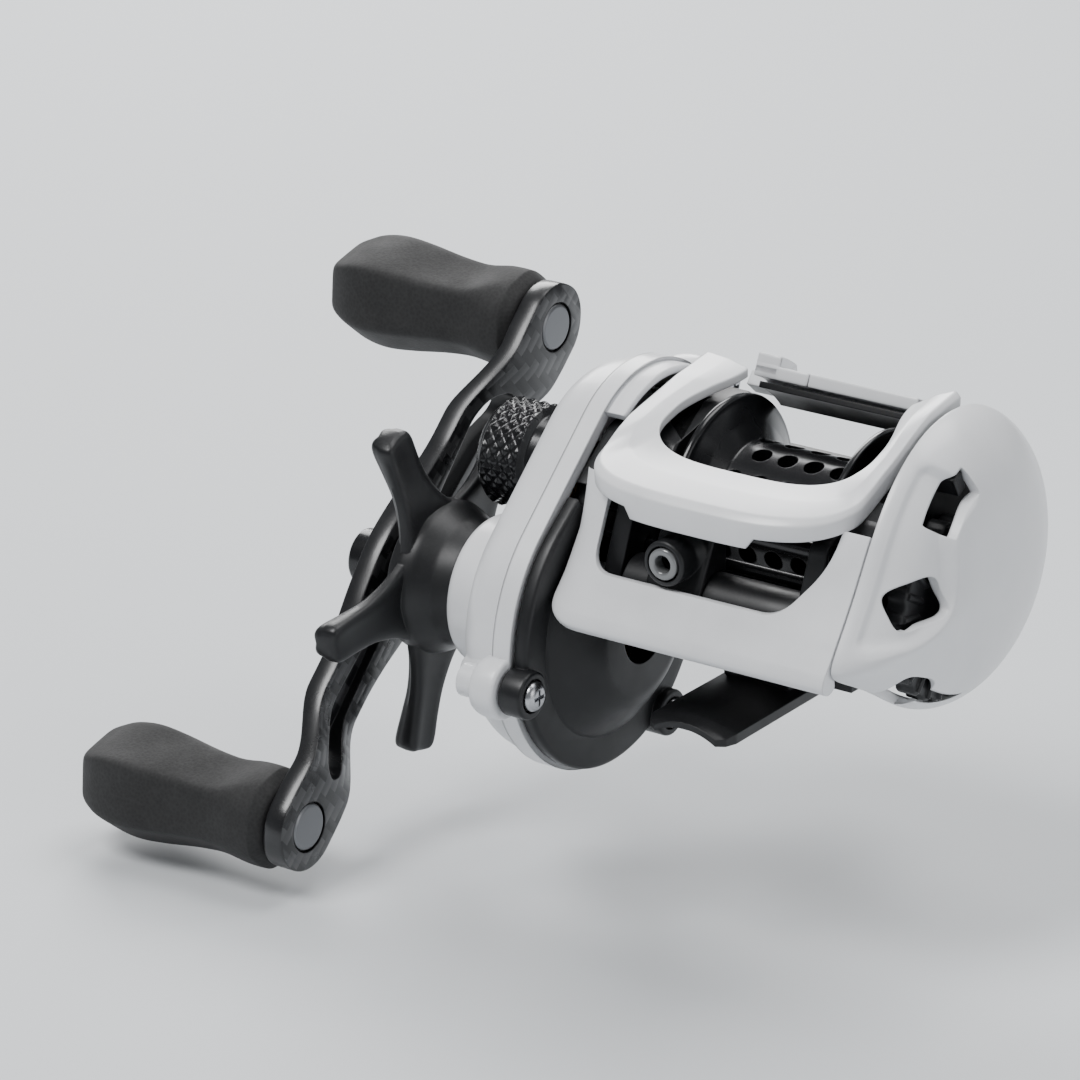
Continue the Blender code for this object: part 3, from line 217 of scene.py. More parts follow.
@dataclass
class Shape:
    """A closed mesh in spool-axis millimetres, kept as arrays until it is finished."""

    verts: Array
    faces: list[tuple[int, ...]]

    def __add__(self, other: "Shape") -> "Shape":
        """Put two shapes side by side in one mesh."""
        shift = len(self.verts)
        moved = [tuple(i + shift for i in f) for f in other.faces]
        return Shape(np.concatenate([self.verts, other.verts]), self.faces + moved)

    def joined(self, *others: "Shape") -> "Shape":
        """Union with other shapes."""
        return self._combine("UNION", others)

    def minus(self, *others: "Shape") -> "Shape":
        """This shape with others cut out of it."""
        return self._combine("DIFFERENCE", others)

    def _combine(self, operation: str, others: Sequence["Shape"]) -> "Shape":
        """Run one exact Boolean with each of the others in turn."""
        result = self
        for other in others:
            pair = [bpy.data.objects.new("work", s.mesh("work")) for s in (result, other)]
            for thing in pair:
                bpy.context.scene.collection.objects.link(thing)
            mod = pair[0].modifiers.new("work", "BOOLEAN")
            mod.operation, mod.object, mod.solver = operation, pair[1], "EXACT"
            made = bpy.data.meshes.new_from_object(pair[0].evaluated_get(bpy.context.evaluated_depsgraph_get()))
            for thing in pair:
                bpy.data.objects.remove(thing, do_unlink=True)
            co = np.empty(len(made.vertices) * 3)
            made.vertices.foreach_get("co", co)
            result = Shape(co.reshape(-1, 3), [tuple(p.vertices) for p in made.polygons])
            bpy.data.meshes.remove(made)
        return result

    def mesh(self, name: str) -> bpy.types.Mesh:
        """A Blender mesh with outward faces, still in millimetres."""
        made = bpy.data.meshes.new(name)
        made.from_pydata(self.verts.tolist(), [], self.faces)
        bm = bmesh.new()
        bm.from_mesh(made)
        bmesh.ops.remove_doubles(bm, verts=bm.verts[:], dist=1e-4)
        bmesh.ops.recalc_face_normals(bm, faces=bm.faces[:])
        bm.to_mesh(made)
        bm.free()
        return made


def loft(rings: Array, capped: bool = True, wrapped: bool = False) -> Shape:
    """Skin closed rings of points.

    Args:
        rings: array of rings by points by 3.
        capped: close the two end rings with one face each.
        wrapped: join the last ring to the first instead.

    Returns:
        The skinned shape.
    """
    rows, count = rings.shape[:2]
    index = np.arange(rows * count).reshape(rows, count)
    spans = np.arange(rows if wrapped else rows - 1)
    a, b = index[spans], index[(spans + 1) % rows]
    quads = np.stack([a, np.roll(a, -1, 1), np.roll(b, -1, 1), b], axis=-1).reshape(-1, 4)
    faces = [tuple(q) for q in quads.tolist()]
    if capped and not wrapped:
        faces += [tuple(index[0][::-1].tolist()), tuple(index[-1].tolist())]
    return Shape(rings.reshape(-1, 3), faces)


def turned(profile: Sequence[Sequence[float]], centre: Point = SPOOL, sides: int = 72, soft: float = 0.3) -> Shape:
    """Turn an (x, r) outline about the X-parallel axis through the centre.

    An outline that starts and ends on the axis gives a solid, and any other is joined up as a ring.
    Its corners are rounded by the soft distance.
    """
    p = np.asarray(profile, float)
    solid = p[0, 1] == 0
    line = rounded(p, soft, 4, loop=not solid) if soft else p
    turns = 2 * pi * np.arange(sides) / sides
    if solid:
        line = line[1:-1]
    yz = np.array(centre) + circle(line[:, 1][:, None], turns[None, :])
    rings = np.concatenate([np.broadcast_to(line[:, 0][:, None, None], yz.shape[:2] + (1,)), yz], axis=-1)
    return loft(rings, wrapped=not solid)


def tube(x0: float, x1: float, r_out: float, r_in: float = 0.0, centre: Point = SPOOL, sides: int = 72,
         soft: float = 0.0) -> Shape:
    """A ring or a solid disc along X."""
    if r_in == 0:
        return turned([(x0, 0), (x0, r_out), (x1, r_out), (x1, 0)], centre, sides, soft)
    return turned([(x0, r_in), (x0, r_out), (x1, r_out), (x1, r_in)], centre, sides, soft)


def slab(outline: Sequence[Sequence[float]], x0: float, x1: float, edge: float = 0.0) -> Shape:
    """Extrude a (y, z) outline along X, with each end drawn in by the edge width on a quarter circle."""
    base = anticlockwise(outline)
    if edge:
        turns = np.linspace(0, pi / 2, 4)
        steps = [(x0 + edge * (1 - cos(t)), edge * (1 - sin(t))) for t in turns]
        steps += [(x1 - edge * (1 - cos(t)), edge * (1 - sin(t))) for t in turns[::-1]]
    else:
        steps = [(x0, 0.0), (x1, 0.0)]
    rings = [np.column_stack([np.full(len(base), x), shrunk(base, inset)]) for x, inset in steps]
    return loft(np.array(rings))


def box(low: Sequence[float], high: Sequence[float], edge: float = 0.0) -> Shape:
    """A block between two corners."""
    (x0, y0, z0), (x1, y1, z1) = low, high
    corners = [(y0, z0), (y1, z0), (y1, z1), (y0, z1)]
    return slab(rounded(corners, edge * 1.7, 3, loop=True) if edge else corners, x0, x1, edge)


def bar(start: Sequence[float], end: Sequence[float], profile: Sequence[Sequence[float]] | float,
        sides: int = 48, soft: float = 0.0) -> Shape:
    """A round bar from start to end.

    Args:
        start: first end.
        end: second end.
        profile: one radius, or (share of the length, radius) pairs.
        sides: sides of the circle.
        soft: corner rounding.

    Returns:
        The bar, closed at both ends.
    """
    a, b = np.array(start, float), np.array(end, float)
    length = np.linalg.norm(b - a)
    way = (b - a) / length
    side = np.cross(way, (0.0, 0.0, 1.0) if abs(way[2]) < 0.9 else (1.0, 0.0, 0.0))
    side /= np.linalg.norm(side)
    other = np.cross(way, side)
    pairs = [(0, profile), (1, profile)] if isinstance(profile, (int, float)) else list(profile)
    line = np.array([(s * length, r) for s, r in pairs])
    if soft:
        line = rounded([(line[0, 0], 0), *line, (line[-1, 0], 0)], soft, 4)[1:-1]
    turns = 2 * pi * np.arange(sides) / sides
    spoke = np.cos(turns)[:, None] * side + np.sin(turns)[:, None] * other
    return loft(a + way * line[:, 0][:, None, None] + spoke[None] * line[:, 1][:, None, None])


# ------------------------------------------------------------------ finishes

class NodeBench:
    """Small helper that adds shader nodes to a tree and links them."""

    def __init__(self, tree: bpy.types.NodeTree) -> None:
        """Keep the tree and start empty."""
        self.tree = tree

    def add(self, kind: str, inputs: dict[str | int, object] | None = None, **settings: object) -> bpy.types.Node:
        """Add a node.

        Args:
            kind: the node's type name without its ShaderNode prefix.
            inputs: value or output socket for each named or numbered input.
            settings: plain attributes of the node.

        Returns:
            The new node.
        """
        node = self.tree.nodes.new("ShaderNode" + kind)
        for key, value in settings.items():
            setattr(node, key, value)
        for key, value in (inputs or {}).items():
            if isinstance(value, bpy.types.NodeSocket):
                self.tree.links.new(value, node.inputs[key])
            else:
                node.inputs[key].default_value = value
        return node

    def math(self, operation: str, first: object, second: object = 0.0) -> bpy.types.NodeSocket:
        """One Math node and its result."""
        return self.add("Math", {0: first, 1: second}, operation=operation).outputs[0]

    def mix(self, share: object, first: object, second: object) -> bpy.types.NodeSocket:
        """Blend two colours."""
        return self.add("Mix", {0: share, 6: first, 7: second}, data_type="RGBA").outputs[2]


class EffectGroups:
    """The effects that several finishes share, each built once as a node group."""

    def __init__(self) -> None:
        """Build every group."""
        self.edges = self._edges()
        self.grain = self._grain()
        self.weave = self._weave()
        self.dust = self._dust()

    @staticmethod
    def _group(name: str, sockets_in: dict[str, float | tuple], sockets_out: dict[str, str]
               ) -> tuple[bpy.types.NodeTree, NodeBench, bpy.types.Node, bpy.types.Node]:
        """Start a group with named inputs and outputs."""
        tree = bpy.data.node_groups.new(name, "ShaderNodeTree")
        for label, default in sockets_in.items():
            kind = "NodeSocketVector" if isinstance(default, tuple) else "NodeSocketFloat"
            socket = tree.interface.new_socket(name=label, in_out="INPUT", socket_type=kind)
            socket.default_value = default
        for label, kind in sockets_out.items():
            tree.interface.new_socket(name=label, in_out="OUTPUT", socket_type=kind)
        return tree, NodeBench(tree), tree.nodes.new("NodeGroupInput"), tree.nodes.new("NodeGroupOutput")

    def _edges(self) -> bpy.types.NodeTree:
        """Edge softening: a bevelled normal, and a mask of how far it leans from the plain one, which paints a
        highlight on edges.
        """
        tree, bench, given, made = self._group("edge_softening_and_highlight", {"Radius": 0.0003},
                                               {"Normal": "NodeSocketVector", "Mask": "NodeSocketFloat"})
        bevel = bench.add("Bevel", {"Radius": given.outputs["Radius"]}, samples=6)
        plain = bench.add("NewGeometry")
        lean = bench.add("VectorMath", {0: bevel.outputs[0], 1: plain.outputs["Normal"]}, operation="DOT_PRODUCT")
        mask = bench.math("MULTIPLY", bench.math("SUBTRACT", 1.0, lean.outputs["Value"]), 4.0)
        clamp = bench.add("Clamp", {"Value": mask})
        tree.links.new(bevel.outputs[0], made.inputs["Normal"])
        tree.links.new(clamp.outputs[0], made.inputs["Mask"])
        return tree

    def _grain(self) -> bpy.types.NodeTree:
        """Grain: a fine noise for height and a broad one for patches of tone."""
        tree, bench, given, made = self._group("surface_grain", {"Vector": (0.0, 0.0, 0.0), "Scale": 1000.0},
                                               {"Height": "NodeSocketFloat", "Patch": "NodeSocketFloat"})
        fine = bench.add("TexNoise", {"Vector": given.outputs["Vector"], "Scale": given.outputs["Scale"],
                                      "Detail": 3.0, "Roughness": 0.6})
        broad = bench.add("TexNoise", {"Vector": given.outputs["Vector"], "Scale": 130.0, "Detail": 4.0})
        tree.links.new(fine.outputs[0], made.inputs["Height"])
        tree.links.new(broad.outputs[0], made.inputs["Patch"])
        return tree

    def _weave(self) -> bpy.types.NodeTree:
        """Twill weave: tows two over and two under, stepping one tow at each row, with rounded backs."""
        tree, bench, given, made = self._group("twill_weave", {"Vector": (0.0, 0.0, 0.0), "Tow": 0.0016},
                                               {"Over": "NodeSocketFloat", "Height": "NodeSocketFloat"})
        parts = bench.add("SeparateXYZ", {0: given.outputs["Vector"]})
        along = bench.math("DIVIDE", parts.outputs["Y"], given.outputs["Tow"])
        across = bench.math("DIVIDE", parts.outputs["Z"], given.outputs["Tow"])
        step = bench.math("ADD", bench.math("FLOOR", along), bench.math("FLOOR", across))
        over = bench.math("LESS_THAN", bench.math("FLOORED_MODULO", step, 4.0), 1.5)
        backs = [bench.math("SINE", bench.math("MULTIPLY", bench.math("FRACT", v), pi)) for v in (along, across)]
        first = bench.math("MULTIPLY", backs[1], over)
        second = bench.math("MULTIPLY", backs[0], bench.math("SUBTRACT", 1.0, over))
        tree.links.new(over, made.inputs["Over"])
        tree.links.new(bench.math("ADD", first, second), made.inputs["Height"])
        return tree

    def _dust(self) -> bpy.types.NodeTree:
        """Dust: a mask of fine specks, thicker where the surface faces up."""
        tree, bench, given, made = self._group("dust", {"Vector": (0.0, 0.0, 0.0), "Amount": 0.1},
                                               {"Mask": "NodeSocketFloat"})
        facing = bench.add("SeparateXYZ", {0: bench.add("NewGeometry").outputs["Normal"]})
        specks = bench.add("TexNoise", {"Vector": given.outputs["Vector"], "Scale": 2600.0, "Detail": 2.0})
        thick = bench.math("MULTIPLY", bench.math("SUBTRACT", specks.outputs[0], 0.42), 3.0)
        lit = bench.add("Clamp", {"Value": bench.math("MULTIPLY", facing.outputs["Z"], thick)})
        tree.links.new(bench.math("MULTIPLY", lit.outputs[0], given.outputs["Amount"]), made.inputs["Mask"])
        return tree


class FinishShop:
    """Makes one material for each finish."""

    def __init__(self) -> None:
        """Build the shared groups and all the materials."""
        self.effects = EffectGroups()
        self.materials = {finish.slot: self._make(finish) for finish in FINISHES}

    def _make(self, finish: Finish) -> bpy.types.Material:
        """Build one material.

        Args:
            finish: the finish to make.

        Returns:
            A material that reads Object coordinates only.
        """
        made = bpy.data.materials.new(finish.slot)
        made.use_nodes = True
        bench = NodeBench(made.node_tree)
        shader = made.node_tree.nodes["Principled BSDF"]
        where = bench.add("TexCoord").outputs["Object"]
        if finish.texture is Texture.TURNED:
            where_grain = bench.add("Mapping", {"Vector": where, "Scale": (1.0, 0.04, 0.04)}).outputs[0]
        else:
            where_grain = where
        edges = bench.add("Group", node_tree=self.effects.edges)
        edges.inputs["Radius"].default_value = finish.edge_mm * MM
        grain = bench.add("Group", node_tree=self.effects.grain)
        grain.inputs["Scale"].default_value = finish.grain
        made.node_tree.links.new(where_grain, grain.inputs["Vector"])
        dust = bench.add("Group", node_tree=self.effects.dust)
        dust.inputs["Amount"].default_value = 0.012 if max(finish.colour) < 0.1 else 0.035
        made.node_tree.links.new(where, dust.inputs["Vector"])

        base = (*finish.colour, 1.0)
        deep = tuple(c * 0.86 for c in finish.colour) + (1.0,)
        pale = tuple(min(1.0, c * 1.5 + 0.03) for c in finish.colour) + (1.0,)
        colour = bench.mix(grain.outputs["Patch"], deep, base)
        height = grain.outputs["Height"]
        if finish.texture is Texture.FOAM:
            pores = bench.add("TexVoronoi", {"Vector": where, "Scale": finish.grain * 0.6})
            height = bench.math("ADD", height, bench.math("MULTIPLY", pores.outputs[0], 0.8))
            colour = bench.mix(bench.math("MULTIPLY", pores.outputs[0], 0.28), colour, pale)
        if finish.texture is Texture.WEAVE:
            turned_to = bench.add("VectorRotate", {"Vector": where, "Axis": (1.0, 0.0, 0.0),
                                                   "Center": (0.0, DRIVE[0] * MM, (DRIVE[1] + SPOOL_HEIGHT) * MM),
                                                   "Angle": -HANDLE_ANGLE}).outputs[0]
            weave = bench.add("Group", node_tree=self.effects.weave)
            made.node_tree.links.new(turned_to, weave.inputs["Vector"])
            face = bench.add("SeparateXYZ", {0: bench.add("NewGeometry").outputs["Normal"]}).outputs["X"]
            flat = bench.math("GREATER_THAN", bench.math("ABSOLUTE", face), 0.8)
            over = bench.math("MULTIPLY", weave.outputs["Over"], flat)
            # Painted sheen: the tows lying on top are mixed towards the paler colour, standing in for how the two tow
            # directions reflect light
            colour = bench.mix(over, colour, pale)
            height = bench.math("ADD", height, bench.math("MULTIPLY", weave.outputs["Height"],
                                                          bench.math("MULTIPLY", flat, 6.0)))
        # Painted highlight: edges are mixed towards the paler colour by the edge mask
        colour = bench.mix(bench.math("MULTIPLY", edges.outputs["Mask"], finish.edge), colour, pale)
        colour = bench.mix(dust.outputs["Mask"], colour, (0.55, 0.54, 0.52, 1.0))
        low, high = finish.roughness - finish.spread, finish.roughness + finish.spread
        rough = bench.add("MapRange", {"Value": grain.outputs["Patch"], "From Min": 0.3, "From Max": 0.7,
                                       "To Min": low, "To Max": high}).outputs[0]
        bump = bench.add("Bump", {"Strength": finish.bump, "Distance": 0.0001, "Height": height,
                                  "Normal": edges.outputs["Normal"]})
        for socket, value in (("Base Color", colour), ("Roughness", rough), ("Normal", bump.outputs[0])):
            made.node_tree.links.new(value, shader.inputs[socket])
        shader.inputs["Metallic"].default_value = finish.metallic
        shader.inputs["Coat Weight"].default_value = finish.coat
        shader.inputs["Coat Roughness"].default_value = 0.18
        shader.inputs["Sheen Weight"].default_value = finish.sheen
        return made


class Workshop:
    """Turns shapes into finished pieces that ride on the frame's bodies."""

    def __init__(self, shop: FinishShop) -> None:
        """Keep the materials and note which slot and body each node has."""
        self.shop = shop
        record = frame["record"]
        self.slots = {s["node"]: s["material_slot"] for s in record["subparts"]}
        groups = record["behaviour"]["bodies"]
        self.bodies = {node: body for body, nodes in groups.items() for node in nodes}

    def finish(self, node: str, shape: Shape, sharp: float = 38.0) -> bpy.types.Object:
        """Make the fine piece that stands for a CAD node.

        Args:
            node: the node it replaces, which gives its body and its finish.
            shape: its surface, in millimetres from the spool axis.
            sharp: edges above this angle, in degrees, stay crisp.

        Returns:
            The finished object, at the origin.
        """
        mesh = shape.mesh(node + "_fine")
        co = np.empty(len(mesh.vertices) * 3)
        mesh.vertices.foreach_get("co", co)
        co = co.reshape(-1, 3) * MM + np.array([0.0, 0.0, SPOOL_HEIGHT * MM])
        mesh.vertices.foreach_set("co", co.ravel())
        mesh.materials.append(self.shop.materials[self.slots[node]])
        mesh.shade_smooth()
        mesh.set_sharp_from_angle(angle=radians(sharp))
        mesh.update()
        piece = bpy.data.objects.new(node + "_fine", mesh)
        bpy.context.scene.collection.objects.link(piece)
        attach(piece, self.bodies[node])
        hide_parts(node)
        LOG.info("%s: %d faces on %s", node, len(mesh.polygons), self.bodies[node])
        return piece

    def dress_rest(self) -> None:
        """Give every CAD node that still shows the material of its slot."""
        for name, thing in frame["nodes"].items():
            if not thing.hide_render:
                thing.data.materials.clear()
                thing.data.materials.append(self.shop.materials[self.slots[name]])
                LOG.info("%s: kept from the frame", name)


# ------------------------------------------------------------------ sub-assemblies

@dataclass
class SubAssembly:
    """A group of pieces that are made together."""

    bench: Workshop

    def build(self) -> None:
        """Make every piece of the group."""
        raise NotImplementedError


@dataclass
class ReelFrame(SubAssembly):
    """Black one-piece frame, its foot and the rods that cross it."""

    disc_out: float = -26.2
    disc_in: float = -23.8
    wall_in: float = 14.2
    wall_out: float = 17.0
    cup_r: float = 17.8
    foot_width: float = 14.0
    foot_sag: float = 1.4
    foot_thick: float = 1.5
    foot_length: float = 60.0

    def build(self) -> None:
        """Make the frame, the foot, the rods and the worm's tube."""
        self.bench.finish("frame", self.frame())
        self.bench.finish("reel_foot", self.foot())
        for name, centre, radius in (("upper", ROD_UPPER, 1.3), ("lower", ROD_LOWER, 0.9)):
            self.bench.finish(f"{name}_guide_rod", tube(-23.4, self.wall_out, radius, 0, centre, 40, 0.3))
        pipe = tube(-self.wall_in + 0.3, self.wall_in - 0.3, 4.2, 3.2, WORM, 64, 0.25)
        slot = box((-11.5, WORM[0] - 1.75, WORM[1] - 8), (11.5, WORM[0] + 1.75, WORM[1] - 2))
        self.bench.finish("worm_tube", pipe.minus(slot))

    def frame(self) -> Shape:
        """The rim disc with its rolled edge and dish, two side walls, bridges and drilled ears."""
        disc = slab(two_lobes(0, 16.4), self.disc_out, self.disc_in, 0.7)
        dish = turned([(self.disc_in - 1, 0), (self.disc_in - 1, 17.4), (self.disc_in, 17.4), (-22.4, 15.8),
                       (-19.6, 12.0), (-18.6, 10.0), (-18.6, 0)], DRIVE, 128, 0.8)
        cup = tube(self.disc_in - 1, -self.wall_in, self.cup_r - 1.6, 0, SPOOL, 128, 0.5)
        walls = [self.side_wall(-self.wall_out - 0.2, -self.wall_in - 0.1),
                 self.side_wall(self.wall_in + 0.1, self.wall_out + 0.2)]
        ring = tube(self.wall_in, 23.2, 19.2, 0, SPOOL, 128, 0.4)
        floor = slab(np.concatenate([[(-11.0, -18.9), (11.0, -18.9)], arc(SPOOL, 17.5, 309, 231, 24)]),
                     -self.wall_in - 1, self.wall_in + 1)
        rear = slab(np.concatenate([arc(SPOOL, 17.5, -42, 10, 20), arc(SPOOL, 18.8, 10, -42, 20)]),
                    -self.wall_in - 1.2, self.wall_in + 1.2)
        bridge = box((-self.wall_in - 1.1, -23.0, 7.4), (self.wall_in + 1.1, -17.6, 8.6))
        ears = [bar((self.disc_out, y, z), (self.disc_in + 1.4, y, z), 3.5, 48, 0.5) for y, z in screw_places()]
        body = walls[0].joined(walls[1], bridge, ring, floor, rear, cup, dish, disc, *ears)
        y = np.array([0, -12, -17, -24.5, -40.0])
        roof = np.concatenate([[(13.2, 12.2), (8.0, 14.2)], np.column_stack([y, hood_height(y) - 3.1]),
                               [(-40, 40), (13.2, 40)]])
        holes = [bar((self.disc_out - 1, y, z), (self.disc_in + 3, y, z), 1.4, 24) for y, z in screw_places()]
        seats = [bar((self.disc_in + 0.4, y, z), (self.disc_in + 3, y, z), 2.5, 32) for y, z in screw_places()]
        return body.minus(
            tube(self.disc_out - 1, -self.wall_out, 14.5, 0, SPOOL, 96),
            tube(-self.wall_out - 1, -self.wall_in + 1, 4.8, 0, SPOOL, 48),
            tube(self.wall_in - 1, 25, 17.2, 0, SPOOL, 128),
            tube(self.disc_out - 1, -17, 5.3, 0, DRIVE, 48),
            tube(self.disc_out - 1, -21.0, 9.0, 0, (DRIVE[0], DRIVE[1] - 4.0), 48),
            slab(roof, -40, 40),
            self.thumb_slot(),
            tube(-40, 40, 1.9, 0, WORM, 32), tube(-40, 18, 1.6, 0, ROD_UPPER, 32), tube(-40, 18, 1.2, 0, ROD_LOWER, 32),
            *holes, *seats)

    def side_wall(self, x0: float, x1: float) -> Shape:
        """A side wall that reaches forwards round the upper rod and the worm."""
        nose = np.concatenate([arc(ROD_UPPER, 2.2, 100, 175, 12), arc(WORM, 4.6, 190, 260, 14)])
        back = [(2.0, 1.6 - self.cup_r), (6.0, 0.0), (2.0, self.cup_r - 1.6)]
        return slab(np.concatenate([nose, back]), x0, x1, 0.2)

    @staticmethod
    def thumb_slot() -> Shape:
        """Slanted slot through both walls, along the thumb bar's travel."""
        along, across = np.array([cos(radians(-40)), sin(radians(-40))]), np.array([sin(radians(40)), cos(radians(40))])
        middle = np.array([cos(radians(50)), sin(radians(50))]) * 18.4 + along * 2.25
        corners = [middle + along * i * 4.05 + across * j * 1.5 for i, j in ((-1, -1), (1, -1), (1, 1), (-1, 1))]
        return slab(rounded(corners, 0.8, 4, loop=True), -30, 30)

    def foot(self) -> Shape:
        """Arched foot plate: an arc across, swept along Y while its half width and thickness ease, plus a pedestal."""
        bow = ((self.foot_width / 2) ** 2 + self.foot_sag ** 2) / (2 * self.foot_sag)
        spread = 2 * atan2(self.foot_width / 2, bow - self.foot_sag)
        turns = np.linspace(-spread / 2, spread / 2, 29)
        flat = spread / 14
        lift = np.where(np.abs(turns) < flat, cos(flat), np.cos(turns))
        half = self.foot_length / 2
        y = np.concatenate([np.linspace(-half, -half + 3, 12), np.linspace(-half + 4, half - 5, 30),
                            np.linspace(half - 4, half, 14)])
        squeeze = np.interp(y, [-half, -half + 0.8, -half + 2.5, half - 4, half - 0.8, half],
                            [0.72, 0.9, 0.985, 0.93, 0.72, 0.55])
        thick = np.interp(y, [-half, -half + 2.5, half - 4, half], [0.9, 1.5, 1.5, 0.9])
        low = np.stack([bow * np.sin(turns)[None] * squeeze[:, None], np.broadcast_to(y[:, None], (len(y), 29)),
                        np.broadcast_to(-SPOOL_HEIGHT + bow * (lift - cos(flat)), (len(y), 29))], axis=-1)
        top = low + np.array([0, 0, 1.0]) * thick[:, None, None]
        plate = loft(np.concatenate([low, top[:, ::-1]], axis=1))
        pedestal = box((-5.5, -12.0, -20.8), (5.5, 12.0, -19.2), 0.4)
        foot = plate.joined(pedestal)
        for place in (-6.5, 6.5):
            foot = foot.minus(bar((0, place, -25), (0, place, -10), 1.8, 32),
                              bar((0, place, -25), (0, place, -20.5), 2.7, 32))
        return foot


@dataclass
class GearSide(SubAssembly):
    """White gear cover with its drag boss, and the cast control knob."""

    open_x: float = -26.5
    shell: float = 1.6

    def build(self) -> None:
        """Make the cover, its screws and the cast control knob."""
        self.bench.finish("gear_cover", self.cover())
        self.bench.finish("cast_control_knob", self.cast_knob())
        for name, (y, z) in zip(("front", "low", "rear"), screw_places()):
            self.bench.finish(f"cover_screw_{name}", self.screw(y, z))

    def cover(self) -> Shape:
        """Two-lobed shell: its outline shrinks along a smooth profile to a flat face. Boss, tube and lugs join it."""
        outer = through([(self.open_x, 0.0), (-30.5, 0.4), (-33.8, 1.1), (-36.2, 2.8), (-37.5, 5.0), (-38.0, 7.4)], 6)
        inner = [(self.open_x + 1, self.shell), (-30.0, 2.0), (-33.0, 2.7), (-35.2, 4.2), (-36.4, 7.2)]
        shells = [loft(np.array([np.column_stack([np.full(168, x), two_lobes(i)]) for x, i in line]))
                  for line in (outer, inner)]
        (fy, fz), low, rear = screw_places()
        lugs = [bar((self.open_x, y, z), (-34.4, y, z), [(0, 3.6), (0.4, 3.6), (0.7, 3.0), (1, 1.2)], 56, 1.2)
                for y, z in (low, rear)]
        lugs.append(bar((self.open_x, fy, fz), (-31.0, fy, fz), [(0, 4.5), (0.7, 4.5), (1, 3.9)], 64, 0.7))
        lugs.append(bar((self.open_x, fy * 0.94, fz), (-36.2, fy * 0.88, fz), [(0, 4.0), (0.5, 3.9), (1, 2.4)], 64, 1.1))
        step = slab(two_lobes(-0.55), self.open_x, -28.9, 0.4)
        boss = turned([(-36.9, 0), (-36.9, 13.6), (-37.9, 12.9), (-38.6, 11.8), (-39.8, 11.4), (-45.0, 11.2),
                       (-46.0, 10.4), (-46.0, 0)], DRIVE, 112, 0.7)
        neck = turned([(-36.9, 0), (-36.9, 8.2), (-38.6, 6.0), (-40.4, 5.4), (-45.9, 5.4), (-45.9, 0)], SPOOL, 80, 0.8)
        visor = slab(np.concatenate([arc(SPOOL, 18.0, 62, 128, 28), arc(SPOOL, 16.8, 128, 62, 28)]), -28.0, -23.2, 0.3)
        cores = [bar((self.open_x, y, z), (-34.0, y, z), 2.5, 24) for y, z in screw_places()]
        made = shells[0].joined(step, *lugs).minus(shells[1]).joined(boss, neck, visor, *cores)
        return made.minus(tube(-34, -44.9, 9.0, 0, DRIVE, 48), tube(-34, -50, 5.0, 0, DRIVE, 40),
                          tube(-34, -50, 4.3, 0, SPOOL, 40),
                          *[bar((self.open_x + 1, y, z), (-32.0, y, z), 1.4, 20) for y, z in screw_places()])

    def cast_knob(self) -> Shape:
        """Cast control knob: a smooth neck, a band of raised diamonds and a domed end.

        The band's radius is 8 plus a share of the smaller of two triangle waves, one leaning each way round it.
        """
        neck = np.array([(-38.3, 5.7), (-38.3, 6.6), (-38.6, 6.8), (-43.4, 6.8), (-43.7, 7.0), (-44.2, 7.9)])
        band = np.column_stack([np.linspace(-44.4, -50.4, 44), np.full(44, 8.0)])
        tail = rounded([(-50.5, 8.0), (-50.7, 7.7), (-51.4, 7.3), (-52.5, 5.9), (-52.6, 3.0), (-52.6, 0.2)], 0.3)
        inside = np.array([(-47.2, 0.2), (-47.2, 5.7)])
        line = np.concatenate([neck, band, tail, inside])
        sides = 216
        turns = 2 * pi * np.arange(sides) / sides
        lean = 24 * turns[None, :] / (2 * pi)
        rise = line[:, 0][:, None] / 1.9
        waves = [np.abs(2 * ((lean + s * rise) % 1) - 1) for s in (1, -1)]
        lies = (line[:, 0] < -44.3) & (line[:, 0] > -50.45) & (line[:, 1] > 7.9)
        radius = line[:, 1][:, None] + np.where(lies[:, None], 0.42 * np.minimum(*waves) - 0.25, 0.0)
        yz = circle(radius, turns[None, :])
        return loft(np.concatenate([np.broadcast_to(line[:, 0][:, None, None], yz.shape[:2] + (1,)), yz], -1),
                    wrapped=True)

    @staticmethod
    def screw(y: float, z: float) -> Shape:
        """Round-headed screw with a cross recess."""
        head = turned([(-23.1, 0), (-23.1, 2.2), (-21.9, 2.2), (-21.3, 1.4), (-21.3, 0)], (y, z), 48, 0.5)
        made = head.joined(bar((-22.6, y, z), (-31.5, y, z), 1.1, 20))
        return made.minus(box((-22.1, y - 1.2, z - 0.25), (-20, y + 1.2, z + 0.25)),
                          box((-22.1, y - 0.25, z - 1.2), (-20, y + 0.25, z + 1.2)))


